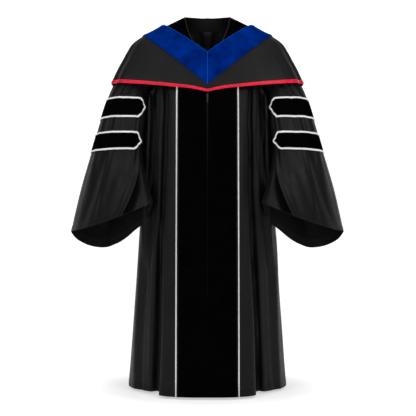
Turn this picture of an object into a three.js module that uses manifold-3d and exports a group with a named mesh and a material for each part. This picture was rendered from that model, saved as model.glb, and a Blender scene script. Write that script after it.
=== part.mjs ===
// A doctoral graduation gown with its hood cape, hollow, in the shape it has when it is worn.
// Sizes are in millimetres. +Z is up, the front faces -Y and +X is the wearer's left.
// The origin is midway between the shoulders, at the height where the gown is held.
import Module from "manifold-3d";
import * as THREE from "three";
import { mergeVertices } from "three/addons/utils/BufferGeometryUtils.js";

const CLOTH = 2; // wall of the gown's cloth
const VELVET = 1.8; // wall of a velvet band
const SEAM = 0.3; // gap left between two pieces at a seam
const ARMHOLE_SEAM = 0.4; // each side's half of the gap round an armhole
const LIFT = 0.35; // gap between a panel and what lies on it
const BAR_LIFT = 0.8; // the same under a sleeve bar, which crosses the gathers

const CHEST_Z = -290; // the underarm
const CUFF_Z = -700; // the height of the sleeve ends
const HEM_Z = -1343;
const HEM_ROWS = 9; // rows between the underarm and the hem

const VELVET_WIDTH = 102; // one front band, from the opening's edge
const CORD_WIDTH = 6.5; // white braid beside a front band
const CORD_HEIGHT = 3.6;
const BAR_CORD_WIDTH = 6; // white braid round a sleeve bar
const BAR_CORD_HEIGHT = 3;

const SHOULDER_TIP = [213, 2, -44.6];
const UNDERARM = [216, 0, CHEST_Z];
const ARMHOLE_FRONT = [190, -64, -178];
const ARMHOLE_BACK = [190, 66, -178];

// Plan of the front from the opening to the side seam, a row for each fold, at three heights.
const FRONT_FOLDS = [
  { name: "opening", chestX: 0, chestY: -131, cuffX: 0, cuffY: -168, hemX: 0, hemY: -222 },
  { name: "band middle", chestX: 52, chestY: -129, cuffX: 52, cuffY: -167, hemX: 52, hemY: -222 },
  { name: "band edge", chestX: 102, chestY: -123, cuffX: 102, cuffY: -161, hemX: 102, hemY: -216 },
  { name: "braid edge", chestX: 109, chestY: -121, cuffX: 109, cuffY: -159, hemX: 109, hemY: -214 },
  { name: "centre panel", chestX: 127, chestY: -116, cuffX: 132, cuffY: -153, hemX: 142, hemY: -204 },
  { name: "pleat crest", chestX: 143, chestY: -108, cuffX: 152, cuffY: -142, hemX: 170, hemY: -183 },
  { name: "pleat return", chestX: 147, chestY: -100, cuffX: 156, cuffY: -130, hemX: 174, hemY: -158 },
  { name: "pleat valley", chestX: 150, chestY: -93, cuffX: 160, cuffY: -117, hemX: 179, hemY: -125 },
  { name: "side panel", chestX: 168, chestY: -92, cuffX: 181, cuffY: -112, hemX: 208, hemY: -116 },
  { name: "side crest", chestX: 184, chestY: -86, cuffX: 199, cuffY: -104, hemX: 234, hemY: -101 },
  { name: "side valley", chestX: 197, chestY: -66, cuffX: 212, cuffY: -85, hemX: 250, hemY: -86 },
  { name: "side roll", chestX: 204, chestY: -61, cuffX: 227, cuffY: -72, hemX: 270, hemY: -60 },
  { name: "side front", chestX: 208, chestY: -33, cuffX: 239, cuffY: -38, hemX: 285, hemY: -29 },
  { name: "side seam", chestX: 216, chestY: 0, cuffX: 244, cuffY: 0, hemX: 291, hemY: 0 },
];
const BAND_EDGE = 2; // places in the list above
const BRAID_EDGE = 3;
const PLEAT_CREST = 5;
// How far the sides swell out below the underarm, and how much of it each of the last folds takes.
const SIDE_SWELL = [
  { z: CHEST_Z, out: 0 },
  { z: -380, out: 3 },
  { z: -480, out: 7 },
  { z: -620, out: 5 },
  { z: -760, out: 0 },
];
const SWELL_SHARES = [0, 0, 0, 0, 0, 0, 0, 0, 0.1, 0.3, 0.5, 0.8, 1, 1];
// How far the centre pleat's folds move sideways on the wearer's left, where it hangs straighter.
const LEFT_PLEAT_DRIFT = { chest: 3, cuff: -4, hem: -3 };

// The front above the underarm: the neckline point of each row and where the row meets the armhole.
const FRONT_YOKE_ROWS = [
  { name: "shoulder seam", x: 86, y: -8, z: 12, armhole: 10, bow: 0, chestShare: 0 },
  { name: "collarbone", x: 74, y: -32, z: -38, armhole: 38, bow: 10, chestShare: 0.2 },
  { name: "upper chest", x: 54, y: -62, z: -88, armhole: 66, bow: 15, chestShare: 0.45 },
  { name: "chest", x: 30, y: -95, z: -160, armhole: 95, bow: 12, chestShare: 0.75 },
  { name: "neck point", x: 5, y: -127, z: -262, armhole: 138, bow: 4, chestShare: 0.95 },
];
// Half the gap between the two fronts, where the zip shows.
const OPENING_GAP = [
  { z: -262, half: 5 },
  { z: -310, half: 4.8 },
  { z: -470, half: 2.3 },
  { z: HEM_Z, half: 1.5 },
];

const BACK_LEVELS = [
  { z: CHEST_Z, depth: 126, flute: 6 },
  { z: CUFF_Z, depth: 160, flute: 13 },
  { z: HEM_Z, depth: 200, flute: 24 },
];
const FLUTES_PER_SIDE = 4;
const FLUTE_STEPS = 4; // columns for each flute
const FLUTE_SHARES = [0.7, 1.1, 0.85, 1.15]; // how full each flute is, from the side seam inwards
const BACK_YOKE_ROWS = [
  { name: "yoke seam", y: 97, z: -19, armhole: 50, flute: 0 },
  { name: "shoulder blade", y: 114, z: -95, armhole: 80, flute: 4 },
  { name: "mid back", y: 121, z: -185, armhole: 118, flute: 6 },
];

// The shoulder yoke, from the front seam round to the centre back: its neckline, and on the outer
// edge either the place on the armhole or the share of the way along the seam with the back.
const YOKE_COLUMNS = [
  { name: "front seam", x: 86, y: -8, z: 12, armhole: 10 },
  { name: "shoulder", x: 84, y: 12, z: 17, armhole: -12 },
  { name: "behind shoulder", x: 75, y: 41, z: 22, armhole: -32 },
  { name: "corner", x: 59, y: 60, z: 25, armhole: -50 },
  { name: "back first", x: 44, y: 69, z: 26, seam: 0.25 },
  { name: "back second", x: 30, y: 74, z: 26, seam: 0.5 },
  { name: "back third", x: 15, y: 77, z: 26, seam: 0.75 },
  { name: "centre back", x: 0, y: 78, z: 26, seam: 1 },
];
const YOKE_STEPS = 3;

// Rings of a sleeve, keyed by the height of the outer point. Each is an oval through four points.
// round: front inner, back inner and back outer quarters; 2 is an ellipse, more is squarer.
const SLEEVE_RINGS = [
  {
    key: SHOULDER_TIP[2], outer: SHOULDER_TIP, front: ARMHOLE_FRONT,
    inner: UNDERARM, back: ARMHOLE_BACK,
    round: [2, 2, 2], gather: 2.5, fold: 0, crest: 154,
  },
  {
    key: -118, outer: [286, 4, -118], front: [243, -80, -214],
    inner: [219.5, -5, -294], back: [246, 82, -214],
    round: [2.2, 2.4, 2], gather: 4, fold: 0, crest: 154,
  },
  {
    key: -225, outer: [338, 1, -225], front: [274, -94, -262],
    inner: [219.5, -12, -301], back: [276, 90, -262],
    round: [2.6, 3.4, 2], gather: 3, fold: 0, crest: 154,
  },
  {
    key: -294, outer: [368, -2, -294], front: [292, -102, -293],
    inner: [222, -18, -299], back: [296, 92, -300],
    round: [2.8, 4, 1.9], gather: 2.6, fold: 0, crest: 154,
  },
  {
    key: -380, outer: [395, -8, -380], front: [306, -122, -377],
    inner: [227, -30, -381], back: [312, 90, -388],
    round: [2.8, 4, 1.9], gather: 2, fold: 2, crest: 152,
  },
  {
    key: -490, outer: [426, -18, -490], front: [322, -150, -485],
    inner: [238.5, -50, -486], back: [330, 80, -504],
    round: [2.4, 3.6, 1.8], gather: 1.6, fold: 11, crest: 149,
  },
  {
    key: -620, outer: [462, -36, -620], front: [325, -192, -608],
    inner: [216, -130, -592], back: [350, 52, -642],
    round: [2, 2, 1.7], gather: 1, fold: 26, crest: 127,
  },
  {
    key: -775, outer: [494, -60, -772], front: [316, -225, -723],
    inner: [193, -150, -667], back: [362, 14, -832],
    round: [2, 2, 1.5], gather: 0.4, fold: 32, crest: 97,
  },
];
const BARS = [
  { name: "upper", keys: [-292, -331, -370] },
  { name: "lower", keys: [-420, -455, -490] },
];
const BAR_KEYS = BARS.flatMap((bar) => bar.keys);
const SLEEVE_KEYS = [SHOULDER_TIP[2], -84, -118, -225, ...BAR_KEYS, -540, -610, -690, -775];
const FRONT_COLUMNS = 16; // from the outer line to the fold's crest, two to a gather
const FLAP_COLUMNS = 4; // from the fold's valley to the inner line
const BACK_COLUMNS = 14;
const FOLD_WIDTH = 11; // degrees from the fold's crest to its valley
const BAR_CORNER = { front: 14, back: 11 }; // columns at which a bar's straight edges end
const BAR_TIP = 2; // columns from there to its point
const BAR_TIP_INSET = 7.2; // how far the velvet's point stops short of the braid's
const BAR_CORNER_INSET = 3.2;

// Horizontal sections of the hood cape as it lies over the shoulders and sleeves.
const CAPE_LEVELS = [
  { z: 0, side: 132, front: 34, back: 62, square: 2 },
  { z: -17.5, side: 167, front: 49, back: 83, square: 2 },
  { z: -34, side: 195, front: 62, back: 98, square: 2.1 },
  { z: -60, side: 243, front: 78, back: 116, square: 2.2 },
  { z: -87, side: 277, front: 91, back: 127, square: 2.4 },
  { z: -116, side: 295, front: 103, back: 134, square: 2.5 },
  { z: -150, side: 312, front: 117, back: 141, square: 2.6 },
  { z: -194, side: 334, front: 130, back: 149, square: 2.8 },
  { z: -235, side: 351, front: 141, back: 155, square: 2.8 },
  { z: -350, side: 380, front: 153, back: 168, square: 2.8 },
];
const HOOD = {
  vPoint: -131, // height of the V's inner point
  bandPoint: -252, // height of the blue band's lower point
  shoulderInner: { x: 162, z: -16 },
  shoulderOuter: { x: 235, z: -58 },
  backInner: -72,
  backOuter: -176,
  hemPoint: -270, // the red binding's upper edge at the centre front
  hemLevel: -252,
  hemLevelX: 100,
  hemSide: -224,
  hemSideX: 345,
  hemBack: -325,
};
const CAPE_COLUMNS = 22; // a half, from the centre front to the centre back
const BAND_ROWS = 2;
const CAPE_ROWS = 4;
const BINDING = { front: 11, side: 17, thick: 4 };

const NECK_BINDING_RADIUS = 1.8;
const ZIP = { top: -284, end: -1010, tapeHalf: 9, tapeThick: 0.8, coilHalf: 1.6, coilThick: 1.4 };
const SLIDER = { top: -281, width: 8.4, height: 13 };
const BAIL = { width: 1.8, reach: 3.6, wall: 1.1, openHeight: 3.4 };
const PULL = { width: 5.8, length: 29, thick: 1, open: 3, openHeight: 3.6, bar: 1.1, eye: 1.4 };

const COLOURS = {
  cloth: { color: 0x1d1c1f, roughness: 0.82 },
  velvet: { color: 0x070708, roughness: 0.95 },
  blue: { color: 0x0b2f8f, roughness: 0.9 },
  satin: { color: 0xd3142c, roughness: 0.35 },
  braid: { color: 0xe9e9ea, roughness: 0.7 },
  metal: { color: 0x3c3c40, roughness: 0.4, metalness: 0.8 },
};

const lerp = (a, b, t) => a + (b - a) * t;
const clamp = (t) => Math.min(1, Math.max(0, t));
const ease = (t) => clamp(t) ** 2 * (3 - 2 * clamp(t));
const radians = (degrees) => (degrees * Math.PI) / 180;
const vector = ([x, y, z]) => new THREE.Vector3(x, y, z);
const mixed = (a, b, t) => a.clone().lerp(b, t);

// A smooth value between rows of a table that is sorted by falling key.
function between(table, key, column, at) {
  const last = table.length - 1;
  if (at >= table[0][key]) return table[0][column];
  if (at <= table[last][key]) return table[last][column];
  let i = 0;
  while (at < table[i + 1][key]) i += 1;
  const row = (k) => table[Math.min(last, Math.max(0, k))];
  const [a, b, c, d] = [row(i - 1), row(i), row(i + 1), row(i + 2)];
  const span = c[key] - b[key];
  const t = (at - b[key]) / span;
  const slope = (p, q) => (p === q ? 0 : ((q[column] - p[column]) / (q[key] - p[key])) * span);
  const [m0, m1] = [a === b ? slope(b, c) : slope(a, c), c === d ? slope(b, c) : slope(b, d)];
  const [t2, t3] = [t * t, t * t * t];
  return (
    (2 * t3 - 3 * t2 + 1) * b[column] + (t3 - 2 * t2 + t) * m0 +
    (3 * t2 - 2 * t3) * c[column] + (t3 - t2) * m1
  );
}

// The same for a column that holds three numbers.
function pointBetween(table, column, at) {
  const axes = [0, 1, 2].map((axis) => table.map((row) => ({ key: row.key, value: row[column][axis] })));
  return vector(axes.map((rows) => between(rows, "key", "value", at)));
}

// Unit normals of a grid of points, pointing to the given side.
function normalsOf(points, { closed = false, side = 1 } = {}) {
  const rows = points.length;
  const columns = points[0].length;
  const column = (j) => (closed ? (j + columns) % columns : Math.min(columns - 1, Math.max(0, j)));
  const row = (i) => Math.min(rows - 1, Math.max(0, i));
  return points.map((line, i) =>
    line.map((_, j) => {
      const across = points[i][column(j + 1)].clone().sub(points[i][column(j - 1)]);
      const down = points[row(i + 1)][j].clone().sub(points[row(i - 1)][j]);
      return across.cross(down).normalize().multiplyScalar(side);
    }),
  );
}

const moved = (points, normals, distance) =>
  points.map((line, i) => line.map((p, j) => p.clone().addScaledVector(normals[i][j], distance)));

// A closed geometry from its corners and faces, turned so that its faces point out.
function solid(corners, faces) {
  const sixVolumes = ([a, b, c]) => corners[a].dot(corners[b].clone().cross(corners[c]));
  const volume = faces.reduce((sum, face) => sum + sixVolumes(face), 0);
  const index = faces.flatMap(([a, b, c]) => (volume < 0 ? [a, c, b] : [a, b, c]));
  const geometry = new THREE.BufferGeometry().setFromPoints(corners);
  geometry.setIndex(index);
  geometry.computeVertexNormals();
  return geometry;
}

const quad = (a, b, c, d) => [
  [a, b, c],
  [a, c, d],
];

// A wall of cloth between two grids of points, closed along its edges.
function wall(outer, inner, closed = false) {
  const rows = outer.length;
  const columns = outer[0].length;
  const corners = [...outer.flat(), ...inner.flat()];
  const at = (i, j) => i * columns + (j % columns);
  const back = rows * columns;
  const faces = [];
  const steps = closed ? columns : columns - 1;
  for (let i = 0; i < rows - 1; i += 1)
    for (let j = 0; j < steps; j += 1) {
      faces.push(...quad(at(i, j), at(i, j + 1), at(i + 1, j + 1), at(i + 1, j)));
      faces.push(...quad(back + at(i, j), back + at(i + 1, j), back + at(i + 1, j + 1), back + at(i, j + 1)));
    }
  for (let j = 0; j < steps; j += 1) {
    const end = rows - 1;
    faces.push(...quad(at(0, j), back + at(0, j), back + at(0, j + 1), at(0, j + 1)));
    faces.push(...quad(at(end, j), at(end, j + 1), back + at(end, j + 1), back + at(end, j)));
  }
  if (!closed)
    for (let i = 0; i < rows - 1; i += 1) {
      const end = columns - 1;
      faces.push(...quad(at(i, 0), at(i + 1, 0), back + at(i + 1, 0), back + at(i, 0)));
      faces.push(...quad(at(i, end), back + at(i, end), back + at(i + 1, end), at(i + 1, end)));
    }
  return solid(corners, faces);
}

// A rod through a list of rings, which all have the same number of points.
function rod(rings, closed = false) {
  const sides = rings[0].length;
  const corners = rings.flat();
  const at = (i, j) => (i % rings.length) * sides + (j % sides);
  const faces = [];
  const steps = closed ? rings.length : rings.length - 1;
  for (let i = 0; i < steps; i += 1)
    for (let j = 0; j < sides; j += 1)
      faces.push(...quad(at(i, j), at(i, j + 1), at(i + 1, j + 1), at(i + 1, j)));
  if (!closed)
    for (let j = 1; j < sides - 1; j += 1) {
      faces.push([at(0, 0), at(0, j + 1), at(0, j)]);
      faces.push([at(rings.length - 1, 0), at(rings.length - 1, j), at(rings.length - 1, j + 1)]);
    }
  return solid(corners, faces);
}

// Raised braid between two lines on a panel: each place has its near edge, far edge and normal.
function braid(places, height, lift, closed = false) {
  const shoulder = 0.72; // height of the braid's rounded shoulders, as a share
  const rings = places.map(({ near, far, normal }) => {
    const place = (across, up) => mixed(near, far, across).addScaledVector(normal, lift + up * height);
    return [place(0, 0), place(0.12, shoulder), place(0.5, 1), place(0.88, shoulder), place(1, 0)];
  });
  return rod(rings, closed);
}

// The places on the armhole where rows and columns of the body pieces meet it, in degrees:
// 0 is the shoulder tip, 90 the front, 180 the underarm and -90 the back.
const ARMHOLE_PLACES = [
  ...FRONT_YOKE_ROWS.map((row) => row.armhole),
  ...BACK_YOKE_ROWS.map((row) => -row.armhole),
  ...YOKE_COLUMNS.map((column) => column.armhole).filter((place) => place < 0 && place > -50),
  180,
  -180,
].sort((a, b) => a - b);

function armholeOval(degrees) {
  const centre = vector(SHOULDER_TIP).add(vector(UNDERARM)).multiplyScalar(0.5);
  const up = vector(SHOULDER_TIP).sub(centre);
  const across = vector(degrees >= 0 ? ARMHOLE_FRONT : ARMHOLE_BACK).sub(centre);
  const angle = radians(degrees);
  return centre.addScaledVector(up, Math.cos(angle)).addScaledVector(across, Math.abs(Math.sin(angle)));
}

// The armhole seam, straight between its places, so that the pieces on both sides follow one line.
function armhole(degrees, side) {
  const next = ARMHOLE_PLACES.findIndex((place) => place >= degrees - 1e-6);
  const [a, b] = [ARMHOLE_PLACES[Math.max(0, next - 1)], ARMHOLE_PLACES[next]];
  const share = b === a ? 0 : (degrees - a) / (b - a);
  const point = mixed(armholeOval(a), armholeOval(b), clamp(share));
  point.x *= side;
  return point;
}

const openingHalf = (z) => between(OPENING_GAP, "z", "half", z);
const SIDE_SEAM = FRONT_FOLDS.length - 1;

// The plan of a front at one height below the underarm, a point for each fold.
function frontPlan(z, side) {
  const drift = (place, i) => {
    const near = Math.exp(-(((i - PLEAT_CREST - 1) / 2) ** 2));
    return side > 0 && i > BRAID_EDGE && i < SIDE_SEAM ? LEFT_PLEAT_DRIFT[place] * near : 0;
  };
  return FRONT_FOLDS.map((fold, i) => {
    const levels = [
      { z: CHEST_Z, x: fold.chestX + drift("chest", i), y: fold.chestY },
      { z: CUFF_Z, x: fold.cuffX + drift("cuff", i), y: fold.cuffY },
      { z: HEM_Z, x: fold.hemX + drift("hem", i), y: fold.hemY },
    ];
    const swell = SWELL_SHARES[i] * between(SIDE_SWELL, "z", "out", z);
    return { x: between(levels, "z", "x", z) + swell, y: between(levels, "z", "y", z) };
  });
}

// A row with points half way along a smooth line through its stations, beyond the braid.
function refined(row) {
  const line = [];
  row.forEach((point, i) => {
    line.push(point);
    if (i < BRAID_EDGE || i === row.length - 1) return;
    const [before, next, after] = [row[i - 1], row[i + 1], row[Math.min(row.length - 1, i + 2)]];
    const middle = point.clone().add(next).multiplyScalar(0.5625);
    line.push(middle.addScaledVector(before, -0.0625).addScaledVector(after, -0.0625));
  });
  return line;
}

function frontUpperRow(row, side) {
  const start = new THREE.Vector3(Math.max(row.x, openingHalf(row.z)) * side, row.y, row.z);
  const end = armhole(row.armhole, side);
  end.x -= side * ARMHOLE_SEAM;
  const plan = frontPlan(CHEST_Z, side);
  const [braidX, pleatX, seamX] = [BRAID_EDGE, PLEAT_CREST, SIDE_SEAM].map((i) => FRONT_FOLDS[i].chestX);
  const braidShare = Math.min(0.86, (VELVET_WIDTH + CORD_WIDTH + 0.5) / start.distanceTo(end));
  return plan.map(({ x, y }) => {
    const beyond = lerp(braidShare, 1, (x - braidX) / (seamX - braidX));
    const share = clamp(x <= braidX ? (x / braidX) * braidShare : beyond);
    const point = mixed(start, end, share);
    const bow = row.bow * share * (1 - share);
    const fold = end.y + ((y - plan[SIDE_SEAM].y) * (row.y - end.y)) / (plan[0].y - plan[SIDE_SEAM].y);
    point.y = lerp(point.y - 4 * bow, fold - bow, row.chestShare);
    // Near the chest the folds keep their places, and only the side is drawn in to the armhole.
    const drawnIn = (seamX - Math.abs(end.x)) * clamp((x - pleatX) / (seamX - pleatX)) ** 2;
    if (x > 0) point.x = side * lerp(Math.abs(point.x), x - drawnIn, row.chestShare);
    return point;
  });
}

function frontGrid(side) {
  const rows = FRONT_YOKE_ROWS.map((row) => frontUpperRow(row, side));
  for (let i = 0; i <= HEM_ROWS; i += 1) {
    const z = lerp(CHEST_Z, HEM_Z, i / HEM_ROWS);
    const row = frontPlan(z, side).map(({ x, y }) => new THREE.Vector3(x * side, y, z));
    row[0].x = openingHalf(z) * side;
    row[SIDE_SEAM].x -= side * SEAM;
    rows.push(row);
  }
  return rows.map(refined);
}

// The direction across a seam at the armhole, shared by the pieces that meet there.
const flatInX = (normal) => normal.setX(0).normalize();

function frontNormals(grid, side) {
  const normals = normalsOf(grid, { side: -side });
  const shoulder = new THREE.Vector3(0.47 * side, 0, 0.88);
  normals.forEach((row, i) => {
    if (i === 0) row.forEach((normal) => normal.copy(shoulder));
    const seam = row[row.length - 1];
    if (i > 0 && i < FRONT_YOKE_ROWS.length) flatInX(seam);
    if (i >= FRONT_YOKE_ROWS.length) seam.set(side, 0, 0);
  });
  return normals;
}

// How far the back's flutes stand out, t from 0 at the side seam to 1 at the centre back.
function fluteOut(t, depth) {
  const place = t * FLUTES_PER_SIDE;
  const share = FLUTE_SHARES[Math.min(FLUTES_PER_SIDE - 1, Math.floor(place))];
  return depth * share * Math.sin(Math.PI * place) ** 2;
}

// A point of the seam between the yoke and the back, straight between the yoke's columns.
function yokeSeam(t, side) {
  const knot = (k) => {
    const end = armhole(-BACK_YOKE_ROWS[0].armhole, side);
    const angle = radians(90 * k);
    return new THREE.Vector3(
      end.x * Math.cos(angle),
      lerp(end.y, BACK_YOKE_ROWS[0].y, Math.sin(angle)),
      lerp(end.z, BACK_YOKE_ROWS[0].z, ease(k)),
    );
  };
  const place = t * FLUTES_PER_SIDE;
  const low = Math.min(FLUTES_PER_SIDE - 1, Math.floor(place));
  return mixed(knot(low / FLUTES_PER_SIDE), knot((low + 1) / FLUTES_PER_SIDE), place - low);
}

const yokeSeamNormal = (point) => new THREE.Vector3(point.x * 0.4, point.y - 20, 60).normalize();

function backHalf(side) {
  const steps = FLUTES_PER_SIDE * FLUTE_STEPS;
  const shares = Array.from({ length: steps + 1 }, (_, k) => k / steps);
  const upper = BACK_YOKE_ROWS.map((row, i) =>
    shares.map((t) => {
      if (i === 0) return yokeSeam(t, side);
      const end = armhole(-row.armhole, side);
      const angle = radians(90 * t);
      return new THREE.Vector3(
        end.x * Math.cos(angle),
        lerp(end.y, row.y, Math.sin(angle)) + fluteOut(t, row.flute),
        lerp(end.z, row.z, ease(t)),
      );
    }),
  );
  upper.forEach((row) => row[0].setX(row[0].x - side * ARMHOLE_SEAM));
  const lower = Array.from({ length: HEM_ROWS + 1 }, (_, i) => {
    const z = lerp(CHEST_Z, HEM_Z, i / HEM_ROWS);
    const width = frontPlan(z, side)[SIDE_SEAM].x - SEAM;
    const depth = between(BACK_LEVELS, "z", "depth", z);
    const flute = between(BACK_LEVELS, "z", "flute", z);
    return shares.map((t) => {
      const angle = radians(90 * t);
      const out = fluteOut(t, flute);
      const x = side * (width + out * t) * Math.cos(angle);
      return new THREE.Vector3(x, SEAM + (depth + out) * Math.sin(angle), z);
    });
  });
  return [...upper, ...lower];
}

function backGrid() {
  const [left, right] = [backHalf(1), backHalf(-1)];
  return left.map((row, i) => [...row, ...right[i].slice(0, -1).reverse()]);
}

function backNormals(grid) {
  const normals = normalsOf(grid, { side: -1 });
  normals.forEach((row, i) => {
    const ends = [row[0], row[row.length - 1]];
    if (i === 0) row.forEach((normal, j) => normal.copy(yokeSeamNormal(grid[i][j])));
    if (i > 0 && i < BACK_YOKE_ROWS.length) ends.forEach(flatInX);
    if (i >= BACK_YOKE_ROWS.length) ends.forEach((normal, k) => normal.set(k === 0 ? 1 : -1, 0, 0));
  });
  return normals;
}

function yokeGrid() {
  const half = (side) =>
    YOKE_COLUMNS.map((column) => {
      const neck = new THREE.Vector3(column.x * side, column.y, column.z);
      const onArmhole = column.seam === undefined;
      const edge = onArmhole ? armhole(column.armhole, side) : yokeSeam(column.seam, side);
      if (onArmhole) edge.x -= side * ARMHOLE_SEAM;
      if (column.name === "front seam") [neck, edge].forEach((point) => point.setY(point.y + SEAM));
      const short = column.name === "corner" || !onArmhole ? SEAM / edge.distanceTo(neck) : 0;
      const reach = (1 - short) / YOKE_STEPS;
      return Array.from({ length: YOKE_STEPS + 1 }, (_, k) => mixed(neck, edge, k * reach));
    });
  const [left, right] = [half(1), half(-1)];
  return [...left, ...right.slice(0, -1).reverse()];
}

function yokeNormals(grid) {
  const normals = normalsOf(grid);
  const columns = YOKE_COLUMNS.length;
  normals.forEach((line, i) => {
    const side = i < columns ? 1 : -1;
    const column = YOKE_COLUMNS[side > 0 ? i : grid.length - 1 - i];
    const outer = line[YOKE_STEPS];
    const onSeam = column.seam !== undefined || column.name === "corner";
    if (column.name === "front seam") line.forEach((normal) => normal.set(0.47 * side, 0, 0.88));
    else if (onSeam) outer.copy(yokeSeamNormal(grid[i][YOKE_STEPS]));
    else flatInX(outer);
  });
  return normals;
}

// A sleeve's ring at one key height.
function sleeveRing(key) {
  const ring = { key };
  for (const name of ["outer", "front", "inner", "back", "round"])
    ring[name] = pointBetween(SLEEVE_RINGS, name, key);
  for (const name of ["gather", "fold", "crest"]) ring[name] = between(SLEEVE_RINGS, "key", name, key);
  return ring;
}

// A point of a ring, at an angle from the outer point round by the front.
function ringPoint(ring, degrees) {
  const angle = radians(degrees);
  const centre = mixed(ring.outer, ring.inner, 0.5);
  const isFront = degrees <= 180;
  const isOuter = Math.cos(angle) >= 0;
  const across = (isFront ? ring.front : ring.back).clone().sub(centre);
  const innerRound = isFront ? ring.round.x : ring.round.y;
  const outerRound = isFront ? 2 : ring.round.z;
  const power = 2 / (isOuter ? outerRound : innerRound);
  const along = ring.outer.clone().sub(centre);
  const shareAlong = Math.sign(Math.cos(angle)) * Math.abs(Math.cos(angle)) ** power;
  centre.addScaledVector(along, shareAlong);
  return centre.addScaledVector(across, Math.abs(Math.sin(angle)) ** power);
}

// A ring's columns: where each lies, and how far the fold moves it out or in.
function sleeveColumns(ring) {
  const columns = [];
  const valley = ring.crest + FOLD_WIDTH;
  for (let k = 0; k <= FRONT_COLUMNS; k += 1) {
    const share = k / FRONT_COLUMNS;
    columns.push({ degrees: ring.crest * share, fold: 0.35 * share ** 3 });
  }
  columns.push({ degrees: ring.crest + FOLD_WIDTH / 2, fold: -0.4 });
  for (let k = 0; k < FLAP_COLUMNS; k += 1) {
    const share = k / FLAP_COLUMNS;
    columns.push({ degrees: lerp(valley, 180, share), fold: share - 1 });
  }
  for (let k = 0; k < BACK_COLUMNS; k += 1)
    columns.push({ degrees: 180 + (180 * k) / BACK_COLUMNS, fold: 0 });
  return columns;
}

// The sleeve's first ring lies on the armhole, with a column at each of its places.
function sleeveHead(columns, side) {
  const turn = (degrees) => (degrees > 180 ? degrees - 360 : degrees);
  const places = columns.map(({ degrees }) => turn(degrees));
  for (const place of ARMHOLE_PLACES.slice(1)) {
    const far = (degrees) => Math.abs(degrees - place);
    const nearest = places.reduce((best, degrees, j) => (far(degrees) < far(places[best]) ? j : best), 0);
    places[nearest] = place;
  }
  return places.map((degrees) => {
    const point = armhole(degrees, side);
    point.x += side * ARMHOLE_SEAM;
    return point;
  });
}

function sleeveGrid(side) {
  return SLEEVE_KEYS.map((key, i) => {
    const ring = sleeveRing(key);
    const columns = sleeveColumns(ring);
    if (i === 0) return sleeveHead(columns, side);
    const middle = mixed(ring.outer, ring.inner, 0.5);
    return columns.map(({ degrees, fold }, j) => {
      const point = ringPoint(ring, degrees);
      const out = point.clone().sub(middle).normalize();
      const gather = (j % 2 === 0 ? 0.5 : -0.5) * ring.gather;
      point.addScaledVector(out, gather + fold * ring.fold);
      point.x *= side;
      return point;
    });
  });
}

function sleeveNormals(grid, side) {
  const normals = normalsOf(grid, { closed: true, side });
  normals[0].forEach(flatInX);
  return normals;
}

// A place on a sleeve bar: up is 1 on its top edge and -1 on its lower one.
function barPlace(grid, rows, column, up) {
  const columns = grid[0].length;
  const low = Math.floor(column);
  const at = (row, j) => grid[row][(j + columns) % columns];
  const along = (row) => mixed(at(row, low), at(row, low + 1), column - low);
  return mixed(along(rows[1]), along(rows[up > 0 ? 0 : 2]), Math.abs(up));
}

const POINT = 0.02; // how blunt a bar's point is, as a share of its height

// A pointed velvet bar round the outside of a sleeve, and the braid along its edge.
function barPieces(grid, normals, bar) {
  const rows = bar.keys.map((key) => SLEEVE_KEYS.indexOf(key));
  const { front, back } = BAR_CORNER;
  const half = barPlace(grid, rows, 0, 1).distanceTo(barPlace(grid, rows, 0, 0));
  const width = barPlace(grid, rows, front, 0).distanceTo(barPlace(grid, rows, front + 1, 0));
  // The columns and heights of the bar's edge, moved in by a number of millimetres.
  const stations = (inset) => {
    const part = inset / BAR_CORD_WIDTH / width;
    const full = 1 - inset / half;
    const end = (column) => {
      const [corner, tip] = [column - 0.1 - BAR_CORNER_INSET * part, column + BAR_TIP - BAR_TIP_INSET * part];
      const slant = [corner, column, column + 1, tip];
      return slant.map((at) => ({ column: at, up: lerp(full, POINT, (at - corner) / (tip - corner)) }));
    };
    const straight = Array.from({ length: front + back - 1 }, (_, k) => ({ column: k + 1 - back, up: full }));
    const backEnd = end(back).map(({ column, up }) => ({ column: -column, up }));
    return [...backEnd.reverse(), ...straight, ...end(front)];
  };
  const surface = (inset, lift) =>
    [1, 0, -1].map((row) =>
      stations(inset).map(({ column, up }) => {
        const out = barPlace(normals, rows, column, row * up).normalize();
        return barPlace(grid, rows, column, row * up).addScaledVector(out, lift);
      }),
    );
  const inset = BAR_CORD_WIDTH + 0.6;
  const velvet = wall(surface(inset, BAR_LIFT + VELVET), surface(inset, BAR_LIFT));
  const edge = ([first, middle, last]) => [...first, middle.at(-1), ...last.toReversed(), middle[0]];
  const [near, far] = [edge(surface(BAR_CORD_WIDTH, 0)), edge(surface(0, 0))];
  const raised = edge(surface(0, 1));
  const places = near.map((point, k) => ({ near: point, far: far[k], normal: raised[k].sub(far[k]) }));
  return { velvet, cord: braid(places, BAR_CORD_HEIGHT, BAR_LIFT, true) };
}

// A point of the cape's form, theta from 0 at the centre front to 180 at the centre back.
function capePoint(theta, z, side) {
  const angle = radians(theta);
  const level = (column) => between(CAPE_LEVELS, "z", column, z);
  const power = 2 / level("square");
  const depth = level(theta <= 90 ? "front" : "back");
  const x = level("side") * Math.abs(Math.sin(angle)) ** power;
  const y = -Math.sign(Math.cos(angle)) * depth * Math.abs(Math.cos(angle)) ** power;
  return new THREE.Vector3(side * x, y, z);
}

// The height on a column of the cape where a line given over x is met.
function heightWhere(theta, lineAt) {
  let z = lineAt(0);
  for (let k = 0; k < 24; k += 1) z = lerp(z, lineAt(capePoint(theta, z, 1).x), 0.5);
  return z;
}

const backShare = (theta) => ease((theta - 90) / 90);

// The hood's edge from a point at the centre front up to a place on the shoulder and round the back.
function hoodEdge(theta, frontPoint, shoulder, centreBack) {
  if (theta > 90) return lerp(shoulder.z, centreBack, backShare(theta));
  return heightWhere(theta, (x) => lerp(frontPoint, shoulder.z, Math.min(1, x / shoulder.x)));
}

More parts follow.
